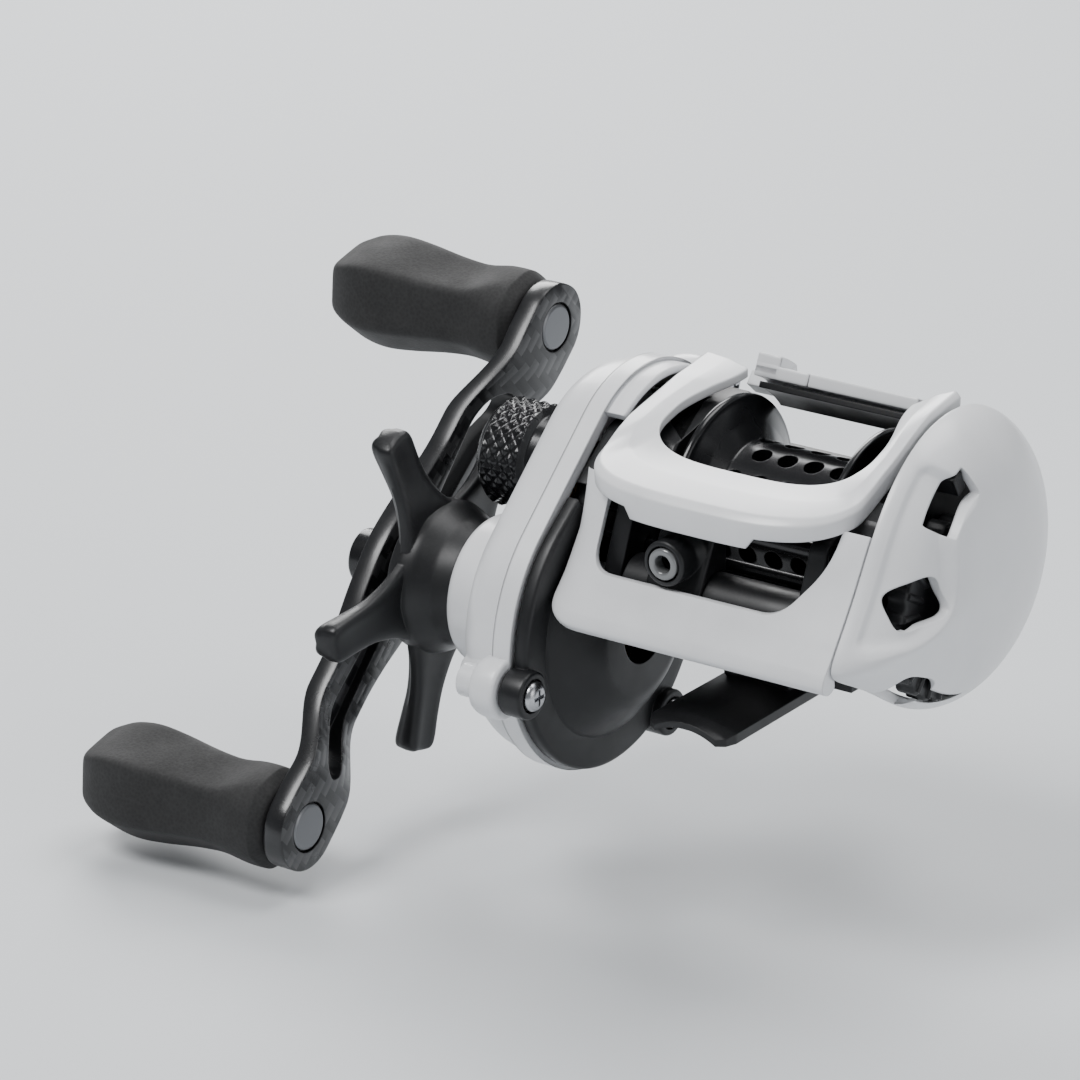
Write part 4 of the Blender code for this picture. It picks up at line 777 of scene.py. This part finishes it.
@dataclass
class FrontAndHood(SubAssembly):
    """White front jaw round the line's mouth, the U-shaped hood over the spool, and the thumb bar."""

    left: float = -23.4
    right: float = 23.5
    hood_left: float = 22.5
    hood_right: float = 20.3

    def build(self) -> None:
        """Make the jaw, the hood and the thumb bar with its carrier."""
        self.bench.finish("front_jaw", self.jaw())
        self.bench.finish("hood_cover", self.hood())
        self.bench.finish("thumb_bar", self.thumb_bar())
        carrier = np.concatenate([arc(SPOOL, 17.0, 40, 65, 16), arc(SPOOL, 17.9, 65, 40, 16)])
        self.bench.finish("thumb_bar_carrier", slab(carrier, -12.6, 12.6, 0.2))

    def jaw(self) -> Shape:
        """Front jaw: one closed section carried along X, drawn back on a quarter circle at the left corner.

        Each section is the same outline. Towards the left end its points move back by the corner radius less
        the height of a circle over the end, so that the corner is round in plan.
        """
        angles = np.linspace(156, 190, 26)
        outside = circle(palm_radius(angles), np.radians(angles))
        chin = rounded([(-29.9, -5.4), (-31.6, -8.0), (-32.2, -9.4), (-31.4, -10.5), (-30.2, -10.8), (-28.8, -10.2),
                        (-29.2, -7.0), (-26.9, -2.6)], 0.6, 4)[1:]
        inside = through([(-26.9, -2.6), (-24.2, 1.4), (-22.0, 5.0), (-19.2, 8.3)], 6)[1:]
        line = np.concatenate([outside, chin, inside])
        radius = 6.0
        x = np.concatenate([self.left + radius * (1 - np.cos(np.linspace(0.02, pi / 2, 16))),
                            np.linspace(self.left + radius + 1, self.right - 0.4, 24), [self.right]])
        away = np.clip((self.left + radius - x) / radius, 0, 1)
        back = radius * (1 - np.sqrt(1 - away ** 2)) * 0.8
        rings = np.empty((len(x), len(line), 3))
        rings[..., 0] = x[:, None]
        front = np.clip((-line[:, 0] - 19.2) / 6.0, 0.15, 1)
        rings[..., 1] = line[None, :, 0] + back[:, None] * front[None, :]
        rings[..., 2] = line[None, :, 1] + 0.45 * back[:, None] * np.clip((-line[:, 1] - 4) / 6, 0, 1)[None, :]
        body = loft(rings)
        mouth = rounded([(-17.4, -2.7), (13.4, -2.7), (18.8, 4.2), (20.2, 16.0), (-19.4, 16.0), (-18.2, 4.0)],
                        3.2, 8, loop=True)
        knife = np.stack([np.column_stack([mouth[:, 0] * g, np.full(len(mouth), y), mouth[:, 1] + d])
                          for y, g, d in ((-45, 1.02, -0.5), (-31, 1.0, 0.0), (-10, 0.99, 0.4))])
        return body.minus(loft(knife))

    def hood_rails(self, count: int = 56) -> tuple[Array, Array]:
        """Inner and outer edge of the hood in plan: straight branches joined by a rounded-square front."""
        t = np.linspace(0, 1, count // 2, endpoint=False)[:, None]
        inner_l = np.hstack([-(13.6 + 3.4 * smooth(t)), 6.0 - 13.0 * t])
        outer_l = np.hstack([np.full_like(t, -self.hood_left), 8.0 - 20.0 * t])
        a = pi + pi * np.linspace(0, 1, count + 1)
        c, s = np.sign(np.cos(a)) * np.abs(np.cos(a)) ** (2 / 3.2), -np.abs(np.sin(a)) ** (2 / 3.2)
        inner_f = np.column_stack([17.0 * c, -7.0 + 10.0 * s])
        outer_f = np.column_stack([np.where(c < 0, self.hood_left, self.hood_right) * c, -12.0 + 16.0 * s])
        inner_r = inner_l[::-1] * [-1, 1]
        outer_r = np.hstack([np.full_like(t, self.hood_right), outer_l[::-1, 1:]])
        return np.concatenate([inner_l, inner_f, inner_r]), np.concatenate([outer_l, outer_f, outer_r])

    def hood(self) -> Shape:
        """U-shaped hood: a soft-cornered section between two rails, with a skirt that drops at the middle front."""
        inner, outer = self.hood_rails()
        corners = np.array([(0.0, 1.6), (0.0, 0.15), (0.45, -0.15), (0.9, 0.05), (1.0, 0.9), (0.985, 2.7), (0.9, 2.75),
                            (0.7, 1.8)])
        section = rounded(corners * [8, 1], 0.28, 3, loop=True) / [8, 1]
        share, drop = section[:, 0], section[:, 1]
        plan = inner[:, None] * (1 - share)[None, :, None] + outer[:, None] * share[None, :, None]
        rise = 2.4 * smooth((plan[..., 1] + 14) / 16) * smooth((plan[..., 0] - 13) / 7)
        tab = (np.abs(outer[:, 0] + 1.5) < 9.8) & (outer[:, 1] < -20)
        skirt = np.where(tab, 2.1, 0.55)[:, None] * smooth((drop - 1.5) / 0.9)[None, :] * (share > 0.8)[None, :]
        return loft(np.concatenate([plan, (hood_height(plan[..., 1]) + rise - drop - skirt)[..., None]], axis=-1))

    @staticmethod
    def thumb_bar() -> Shape:
        """Curved thumb bar with a parting line, a raised ramp at its left end and a lug at each end."""
        bar_ring = rounded(np.concatenate([arc(SPOOL, 18.5, 36, 67, 30), arc(SPOOL, 20.4, 67, 36, 30)]), 0.4, 3, True)
        made = slab(bar_ring, -13.5, -4.6, 0.3) + slab(bar_ring, -4.5, 13.5, 0.3)
        ramp = np.concatenate([arc(SPOOL, 18.8, 44, 67, 16), arc(SPOOL, 21.9, 67, 54, 12)])
        wedge = slab(rounded(ramp, 0.4, 3, True), -13.5, -9.6, 0.3)
        along, across = np.array([cos(radians(-40)), sin(radians(-40))]), np.array([sin(radians(40)), cos(radians(40))])
        middle = np.array([cos(radians(50)), sin(radians(50))]) * 18.5
        lug = slab([middle + along * i * 1.5 + across * j * 1.1 for i, j in ((-1, -1), (1, -1), (1, 1), (-1, 1))],
                   -16.4, 16.4, 0.1)
        return made + wedge + lug.minus(tube(-13.0, 13.0, 18.2, 0, SPOOL, 96))


@dataclass
class PalmSide(SubAssembly):
    """White palm cover with its stepped front panel, the brake dial and the lock lever."""

    seam: float = 23.8
    crown: float = 33.0
    wall: float = 1.5
    step: float = 1.5
    dial_centre: Point = (-6.5, -5.0)
    dial_r: float = 13.0
    panel: tuple[Point, ...] = ((-10.2, 17.6), (-5.1, 12.6), (-10.4, 8.4), (-11.2, 3.4), (-12.9, -2.1), (-18.0, -5.4),
                                (-24.0, -5.6), (-36.0, -3.4), (-40.0, 8.0), (-26.0, 24.0))

    def build(self) -> None:
        """Make the cover, dial and lever."""
        self.bench.finish("palm_cover", self.cover())
        self.bench.finish("brake_dial", self.dial())
        self.bench.finish("lock_lever", self.lever())

    def panel_depth(self, y: Array, z: Array) -> Array:
        """How far inside the front panel each point lies, by its distance to the panel's rounded outline."""
        p = np.asarray(self.panel, float)
        ring = through(np.concatenate([p[:8], p[8:], p[:1]]), 5)
        a, b = ring[:-1], ring[1:]
        q = np.stack([y, z], axis=-1)[..., None, :]
        t = np.clip(np.sum((q - a) * (b - a), -1) / np.maximum(np.sum((b - a) ** 2, -1), 1e-9), 0, 1)
        away = np.linalg.norm(q - a - t[..., None] * (b - a), axis=-1).min(axis=-1)
        crosses = (a[:, 1] > q[..., 1]) != (b[:, 1] > q[..., 1])
        slope = (b[:, 0] - a[:, 0]) * (q[..., 1] - a[:, 1]) / np.where(b[:, 1] == a[:, 1], 1e-9, b[:, 1] - a[:, 1])
        inside = np.sum(crosses & (q[..., 0] < slope + a[:, 0]), axis=-1) % 2 == 1
        return np.where(inside, away, 0.0)

    def dome(self, share: Array, turns: Array, inset: float, thick: float) -> Array:
        """Dome over the rim outline: its height falls as (1 - share^2.8)^0.6, less the front panel's step."""
        degrees = np.degrees(turns)
        radius = (palm_radius(degrees) - inset)[None, :] * share[:, None]
        y, z = radius * np.cos(turns), radius * np.sin(turns)
        x = self.seam + (self.crown - self.seam - thick) * (1 - share[:, None] ** 2.8).clip(0) ** 0.6 + 0 * y
        sunk = self.step * smooth(self.panel_depth(y, z) / 1.9) * smooth((1 - share[:, None]) / 0.10)
        return np.stack([x - sunk, y, z], axis=-1)

    def cover(self) -> Shape:
        """Palm cover: outer and inner dome joined at the rim, with three windows cut through."""
        sides = 320
        turns = 2 * pi * np.arange(sides) / sides
        share = np.concatenate([np.sin(np.linspace(pi / 2, 0.9, 26)), np.linspace(0.77, 0.03, 62)])
        outer = loft(self.dome(share, turns, 0.0, 0.0))
        deep = self.dome(share, turns, self.wall, self.wall)
        foot = deep[:1].copy()
        foot[..., 0] = self.seam - 1.0
        inner = loft(np.concatenate([foot, deep]))
        window = slab(self.window((-17.8, -0.2), 4.5, 3.1, 8), 24.2, 40)
        low = slab(self.window((-16.4, -14.0), 4.0, 2.5, -22), 24.2, 40)
        slot = slab(rounded(np.concatenate([arc(SPOOL, 13.4, 112, 146, 20), arc(SPOOL, 17.6, 146, 112, 20)]), 1.3, 5, True),
                    24.2, 40)
        return outer.minus(inner, window, low, slot, tube(24.1, 28.75, self.dial_r + 0.3, 0, self.dial_centre, 96))

    @staticmethod
    def window(centre: Point, half_y: float, half_z: float, degrees: float) -> Array:
        """A rounded rectangle: the power 0.55 of cosine and sine, turned by the angle about its centre."""
        turns = 2 * pi * np.arange(48) / 48
        c, s = np.cos(turns), np.sin(turns)
        u, v = half_y * np.sign(c) * np.abs(c) ** 0.55, half_z * np.sign(s) * np.abs(s) ** 0.55
        a = radians(degrees)
        return np.column_stack([centre[0] + u * cos(a) - v * sin(a), centre[1] + u * sin(a) + v * cos(a)])

    def dial(self) -> Shape:
        """Ribbed brake dial: its radius swings between the rib tops and the grooves on a flattened wave."""
        turns = 2 * pi * np.arange(24 * 14) / (24 * 14)
        radius = self.dial_r - 0.3 + 0.32 * np.tanh(2.4 * np.sin(24 * turns))
        wheel = slab(np.array(self.dial_centre) + circle(radius, turns), 24.9, 28.0, 0.35)
        wheel = wheel + tube(23.4, 25.4, 2.2, 0, self.dial_centre, 40)
        for a in radians(15) * np.arange(24) + radians(3.75):
            way = np.array([0.0, cos(a), sin(a)])
            root = np.array([28.0, *self.dial_centre])
            wheel = wheel + bar(root + way * 8.6, root + way * 12.6, 0.5, 12)
        return wheel

    def lever(self) -> Shape:
        """Lock lever: a flat arm about the spool axis and a finger tab with four ribs."""
        arm = slab(np.concatenate([arc(SPOOL, 5.2, 150, 430, 48), [(3.3, 8.0), (-5.2, 16.6), (-8.9, 14.6)]]), 23.5, 24.4)
        arm = arm.minus(tube(23, 25, 3.4, 0, self.dial_centre, 40))
        tab = slab(np.concatenate([arc(SPOOL, 14.0, 113, 120, 6), arc(SPOOL, 17.2, 120, 113, 6)]), 23.9, 29.3, 0.3)
        for k in range(5):
            a = radians(113.8 + 1.35 * k)
            tab = tab + bar((29.15, 14.2 * cos(a), 14.2 * sin(a)), (29.15, 17.0 * cos(a), 17.0 * sin(a)), 0.28, 12)
        return arm + tab


@dataclass
class LevelWind(SubAssembly):
    """Line guide that travels along the worm, with its ringed eye."""

    middle: float = -5.0
    half: float = 4.5
    eye_z: float = 1.3
    eye_y: float = -28.2

    def build(self) -> None:
        """Make the carriage, its line ring and the pawl's cap."""
        self.bench.finish("line_guide_carriage", self.carriage())
        ring = turned_along_y(self.middle, self.eye_z, [(self.eye_y - 0.3, 1.25), (self.eye_y - 0.3, 2.3),
                                                        (self.eye_y + 1.9, 2.3), (self.eye_y + 1.9, 1.25)], 0.35)
        self.bench.finish("line_guide_insert", ring)
        top, low = WORM[1] - 5.7, WORM[1] - 7.1
        cap = bar((self.middle, WORM[0], low), (self.middle, WORM[0], top), 2.8, 64, 0.35)
        slot = box((self.middle - 2.2, WORM[0] - 0.3, low - 1), (self.middle + 2.2, WORM[0] + 0.3, low + 0.35))
        hole = bar((self.middle, WORM[0], low + 0.5), (self.middle, WORM[0], top + 1), 1.7, 32)
        self.bench.finish("pawl_cap", cap.minus(slot, hole))

    def carriage(self) -> Shape:
        """Carriage block on the worm's tube and the upper rod, with a turned boss for the line's eye."""
        outline = np.concatenate([arc(ROD_UPPER, 2.4, 20, 160, 20), arc(WORM, 5.4, 170, 370, 48)])
        x, z = self.middle, self.eye_z
        body = slab(outline, x - self.half, x + self.half, 0.6)
        boss = turned_along_y(x, z, [(self.eye_y, 0), (self.eye_y, 3.3), (-24.6, 3.3), (-23.4, 4.3), (-21.0, 4.3),
                                     (-21.0, 0)], 0.5)
        return body.joined(boss).minus(
            tube(-20, 20, 4.5, 0, WORM, 64), tube(-20, 20, 1.55, 0, ROD_UPPER, 40),
            bar((x, -40, z), (x, -10, z), 1.3, 40), bar((x, -40, z), (x, self.eye_y + 2.2, z), 2.6, 48),
            bar((x, WORM[0], WORM[1] - 9), (x, WORM[0], WORM[1]), 1.7, 32),
            box((-20, -19.3, -4.0), (20, -15, 2.4)))


def turned_along_y(x: float, z: float, profile: Sequence[Sequence[float]], soft: float = 0.3) -> Shape:
    """Turn a (y, r) outline about the Y-parallel axis through (x, z): a turned shape with its X and Y swapped."""
    made = turned(profile, (x, z), 72, soft)
    return Shape(made.verts[:, [1, 0, 2]], made.faces)


@dataclass
class SpoolGroup(SubAssembly):
    """Spool with coned flanges and rows of round holes through its barrel."""

    radius: float = 16.0
    half: float = 13.0
    barrel: float = 10.0

    def build(self) -> None:
        """Make the spool."""
        w, r = self.half, self.radius
        side = [(w - 4.1, self.barrel), (w - 2.6, 12.4), (w - 1.3, r - 0.9), (w - 1.1, r - 0.2), (w - 0.7, r),
                (w - 0.2, r), (w, r - 0.3), (w - 0.5, 14.6), (w - 2.6, 9.0), (w - 2.6, 4.0), (w - 0.6, 3.6),
                (w - 0.6, 1.8)]
        profile = side + [(-x, y) for x, y in side[::-1]]
        spool = turned(profile, SPOOL, 144, 0.3)
        hollow = turned([(-8.6, 4.4), (-8.6, 8.4), (8.6, 8.4), (8.6, 4.4)], SPOOL, 48, 0.0)
        spool = spool.minus(hollow)
        holes: list[Shape] = []
        for k in range(12):
            a = 2 * pi * k / 12 + 0.28
            for x in (-6.45, -2.15, 2.15, 6.45):
                x += 2.1 * (k % 2) - 1.05
                holes.append(bar((x, 7.0 * cos(a), 7.0 * sin(a)), (x, 12 * cos(a), 12 * sin(a)), 1.5, 20))
        cutter = holes[0]
        for hole in holes[1:]:
            cutter = cutter + hole
        self.bench.finish("spool", spool.minus(cutter))


@dataclass
class DragStar(SubAssembly):
    """Star wheel: a coned hub and five wings with thick, rounded ends."""

    arms: int = 5
    reach: float = 26.5
    first: float = 42.0

    def build(self) -> None:
        """Make the star wheel."""
        hub = turned([(-46.4, 7.9), (-46.4, 9.0), (-49.5, 9.6), (-52.4, 11.2), (-54.0, 11.6), (-56.3, 11.2),
                      (-56.3, 3.3), (-52.7, 3.3), (-52.7, 7.9)], DRIVE, 96, 0.5)
        wings = [self.wing(self.first + 360 / self.arms * k) for k in range(self.arms)]
        self.bench.finish("star_drag", hub.joined(*wings))

    def wing(self, degrees: float) -> Shape:
        """One wing: a rounded-square section carried outwards, narrow in the middle and thick at its end."""
        table = through([(7.0, 7.6, -54.4, 1.5), (10.0, 6.0, -54.6, 1.4), (13.0, 4.5, -54.8, 1.3), (17.0, 3.4, -55.1, 1.35),
                         (21.0, 3.1, -55.5, 1.6), (24.6, 3.0, -55.8, 1.85), (26.0, 2.5, -55.9, 1.75),
                         (self.reach, 1.5, -56.0, 1.2)], 6)
        turns = 2 * pi * np.arange(40) / 40
        c, s = np.cos(turns), np.sin(turns)
        across = np.sign(c) * np.abs(c) ** 0.45
        over = np.sign(s) * np.abs(s) ** 0.42 * (1 - 0.28 * (s < 0) * np.abs(c) ** 2)
        r, half, x, thick = (table[:, i][:, None] for i in range(4))
        v = half * across[None] * (1 - 0.14 * (over[None] < 0))
        px = x + thick * over[None] * (1 + 0.25 * np.abs(across[None]))
        a = radians(degrees)
        y = DRIVE[0] + r * cos(a) - v * sin(a)
        z = DRIVE[1] + r * sin(a) + v * cos(a)
        return loft(np.stack([px, y, z], axis=-1))


@dataclass
class CrankHandle(SubAssembly):
    """Cranked twin handle arm, its nut and the two foam knobs on their posts."""

    hub_in: float = -60.0
    tip_in: float = -55.5
    thick: float = 3.5

    def build(self) -> None:
        """Make the arm, nut, spacer, posts and knobs."""
        self.bench.finish("handle_arm", self.arm())
        nut = turned([(-63.8, 3.3), (-63.8, 5.0), (-65.0, 5.0), (-65.3, 4.2), (-68.2, 4.2), (-68.8, 3.0), (-68.8, 0.2),
                      (-67.3, 0.2), (-67.3, 3.3)], DRIVE, 72, 0.4)
        self.bench.finish("handle_nut", nut)
        self.bench.finish("arm_spacer", tube(-56.6, -59.7, 6.2, 3.3, DRIVE, 72, 0.4))
        for name, sign in (("upper", 1), ("lower", -1)):
            centre = self.knob_centre(sign)
            post = [(self.tip_in + 0.1, 0), (self.tip_in + 0.1, 3.1), (self.tip_in - 0.2, 3.5), (-56.25, 3.5),
                    (-56.25, 2.0), (-90.0, 2.0), (-90.0, 0)]
            self.bench.finish(f"knob_post_{name}", turned(post, centre, 72, 0.12))
            self.bench.finish(f"knob_{name}", self.knob(centre), 60)

    @staticmethod
    def knob_centre(sign: int) -> Point:
        """Where a knob's axis crosses the arm."""
        return DRIVE[0] + sign * HALF_SPAN * cos(HANDLE_ANGLE), DRIVE[1] + sign * HALF_SPAN * sin(HANDLE_ANGLE)

    def face_x(self, r: Array) -> Array:
        """Inner face of the arm: set out at the hub and eased back towards its ends."""
        return self.hub_in + (self.tip_in - self.hub_in) * smooth((np.abs(r) - 23) / 13)

    @staticmethod
    def half_width(r: Array) -> Array:
        """Half width: 6.6 with a wider hub and a waist, closed by a circle beyond each knob's axis."""
        away = np.abs(r)
        body = 6.6 + 1.6 * (1 - smooth(away / 14)) - 1.3 * smooth((away - 8) / 12) * (1 - smooth((away - 26) / 14))
        tip = np.sqrt(np.clip(6.6 ** 2 - (away - HALF_SPAN) ** 2, 0.02, None))
        return np.where(away > HALF_SPAN, tip, body)

    @staticmethod
    def along(r: Array, v: Array, x: Array) -> Array:
        """Points at r along the arm and v across it."""
        c, s = cos(HANDLE_ANGLE), sin(HANDLE_ANGLE)
        return np.stack(np.broadcast_arrays(x, DRIVE[0] + r * c - v * s, DRIVE[1] + r * s + v * c), axis=-1)

    def arm(self) -> Shape:
        """Arm: a soft-edged section carried along its length, with a through slot above and a recess below."""
        end = HALF_SPAN + 6.6 * np.sin(np.linspace(0, pi / 2, 16))
        r = np.concatenate([-end[::-1], np.linspace(-HALF_SPAN, HALF_SPAN, 96)[1:-1], end])
        half, x = self.half_width(r)[:, None], self.face_x(r)[:, None]
        lift = np.clip(half / 6.0, 0.05, 1)
        v = np.concatenate([-half + 0.55 * lift, half - 0.55 * lift, half - 0.15 * lift, half, half, half - 0.2 * lift,
                            half - 0.7 * lift, -half + 0.7 * lift, -half + 0.2 * lift, -half, -half,
                            -half + 0.15 * lift], axis=1)
        deep = np.array([0, 0, 0.15, 0.55, 2.8, 3.25, 3.5, 3.5, 3.25, 2.8, 0.55, 0.15])[None]
        arm = loft(self.along(r[:, None], v, x - deep))
        shape = rounded([(11, -1.4), (28, -2.6), (31, 0), (28, 2.6), (11, 1.4), (9.4, 0)], 1.6, 6, loop=True)
        slot = loft(np.stack([self.along(shape[:, 0], shape[:, 1] * g, np.full(len(shape), px))
                              for px, g in ((-50, 1.25), (-59.0, 1.0), (-66, 1.0))]))
        deep_r = rounded([(11, -1.4), (33, -2.4), (35, 0), (33, 2.4), (11, 1.4), (9.4, 0)], 1.6, 6, loop=True)
        recess = loft(np.stack([self.along(-deep_r[:, 0], deep_r[:, 1], np.full(len(deep_r), px))
                                for px in (-50.0, self.hub_in - 1.4)]))
        arm = arm.minus(slot, recess, tube(-50, -70, 3.3, 0, DRIVE, 48))
        for sign in (1, -1):
            centre = self.knob_centre(sign)
            arm = arm.minus(tube(-50, -65, 2.3, 0, centre, 32), tube(-50, self.tip_in - 1.0, 3.8, 0, centre, 64))
        return arm

    def knob(self, centre: Point) -> Shape:
        """Foam paddle: an oval section carried along X, pressed in by flats.

        Each flat limits the radius to its distance over the cosine of the angle from its middle. The limits
        are joined by a high power mean, so the flats meet in narrow rounded edges.
        """
        table = through([(-59.4, 4.9, 4.9), (-59.7, 5.9, 6.0), (-61.0, 7.1, 7.2), (-61.6, 7.3, 7.4), (-64.5, 7.3, 7.5),
                         (-69.0, 7.4, 7.4), (-74.0, 8.0, 7.8), (-80.0, 9.1, 8.7), (-84.5, 9.6, 9.1), (-88.0, 9.3, 8.7),
                         (-90.6, 8.3, 7.7), (-92.6, 6.7, 6.1), (-93.6, 4.9, 4.4), (-94.0, 2.6, 2.3)], 8)
        turns = 2 * pi * np.arange(144) / 144
        x, a, b = (table[:, i][:, None] for i in range(3))
        base = a * b / np.sqrt((b * np.cos(turns)) ** 2 + (a * np.sin(turns)) ** 2) * 1.03
        firm = smooth((-61.5 - x) / 9)
        power = 26.0
        inverse = base ** -power
        for middle, share in ((104.0, 0.80), (52.0, 0.90), (-74.0, 0.84), (-128.0, 0.90), (176.0, 0.90), (-8.0, 0.92)):
            lean = np.cos(turns - radians(middle))
            limit = b * (1 - (1 - share) * firm * smooth((x + 95.5) / 5)) / np.clip(lean, 0.2, 1)
            inverse = inverse + limit ** -power
        radius = inverse ** (-1 / power)
        yz = np.array(centre) + circle(radius, turns)
        made = loft(np.concatenate([np.broadcast_to(x[..., None], yz.shape[:2] + (1,)), yz], axis=-1))
        return made.minus(tube(-58.4, -91.0, 3.4, 0, centre, 40))


# ------------------------------------------------------------------ studio

@dataclass
class Studio:
    """Pale floor, soft lights and the camera."""

    floor_z: float = -0.0345
    lens: float = 189.33
    eye: tuple[float, float, float] = (0.39848, -0.63392, 0.30569)
    toward: tuple[float, float, float] = (-0.53549, 0.76476, -0.35837)

    def build(self) -> None:
        """Make the floor, lights, world and camera."""
        self.floor()
        for name, place, size, power in (("key", (-0.25, -0.50, 0.85), 0.40, 8.5), ("fill", (0.80, -0.10, 0.30), 0.5, 1.6),
                                         ("top", (0.10, 0.35, 0.90), 0.6, 6.5), ("rim", (-0.50, 0.50, 0.40), 0.4, 5.0)):
            self.light(name, place, size, power)
        world = bpy.data.worlds.new("studio")
        world.use_nodes = True
        backdrop = world.node_tree.nodes["Background"]
        backdrop.inputs[0].default_value = (0.80, 0.82, 0.85, 1.0)
        backdrop.inputs[1].default_value = 0.30
        bpy.context.scene.world = world
        camera = bpy.data.cameras.new("camera")
        camera.lens, camera.sensor_width, camera.clip_start = self.lens, 36.0, 0.01
        thing = bpy.data.objects.new("camera", camera)
        thing.location = self.eye
        thing.rotation_mode = "QUATERNION"
        thing.rotation_quaternion = Vector(self.toward).to_track_quat("-Z", "Y")
        bpy.context.scene.collection.objects.link(thing)
        bpy.context.scene.camera = thing

    def floor(self) -> None:
        """A wide plain floor."""
        mesh = bpy.data.meshes.new("floor")
        size = 4.0
        mesh.from_pydata([(-size, -size, self.floor_z), (size, -size, self.floor_z), (size, size, self.floor_z),
                          (-size, size, self.floor_z)], [], [(0, 1, 2, 3)])
        paint = bpy.data.materials.new("floor")
        paint.use_nodes = True
        shader = paint.node_tree.nodes["Principled BSDF"]
        shader.inputs["Base Color"].default_value = (0.62, 0.64, 0.66, 1.0)
        shader.inputs["Roughness"].default_value = 0.7
        mesh.materials.append(paint)
        thing = bpy.data.objects.new("floor", mesh)
        bpy.context.scene.collection.objects.link(thing)

    @staticmethod
    def light(name: str, place: tuple[float, float, float], size: float, power: float) -> None:
        """A soft square light that faces the reel."""
        lamp = bpy.data.lights.new(name, "AREA")
        lamp.size, lamp.energy = size, power
        thing = bpy.data.objects.new(name, lamp)
        thing.location = place
        thing.rotation_euler = Vector([-v for v in place]).to_track_quat("-Z", "Y").to_euler()
        bpy.context.scene.collection.objects.link(thing)


def main() -> None:
    """Build every sub-assembly in order, dress the rest and set up the studio."""
    logging.basicConfig(level=logging.INFO, format="%(message)s")
    bench = Workshop(FinishShop())
    groups: tuple[Callable[[Workshop], SubAssembly], ...] = (
        ReelFrame, GearSide, FrontAndHood, PalmSide, LevelWind, SpoolGroup, DragStar, CrankHandle)
    for group in groups:
        group(bench).build()
    bench.dress_rest()
    Studio().build()


if __name__ == "__main__":
    main()
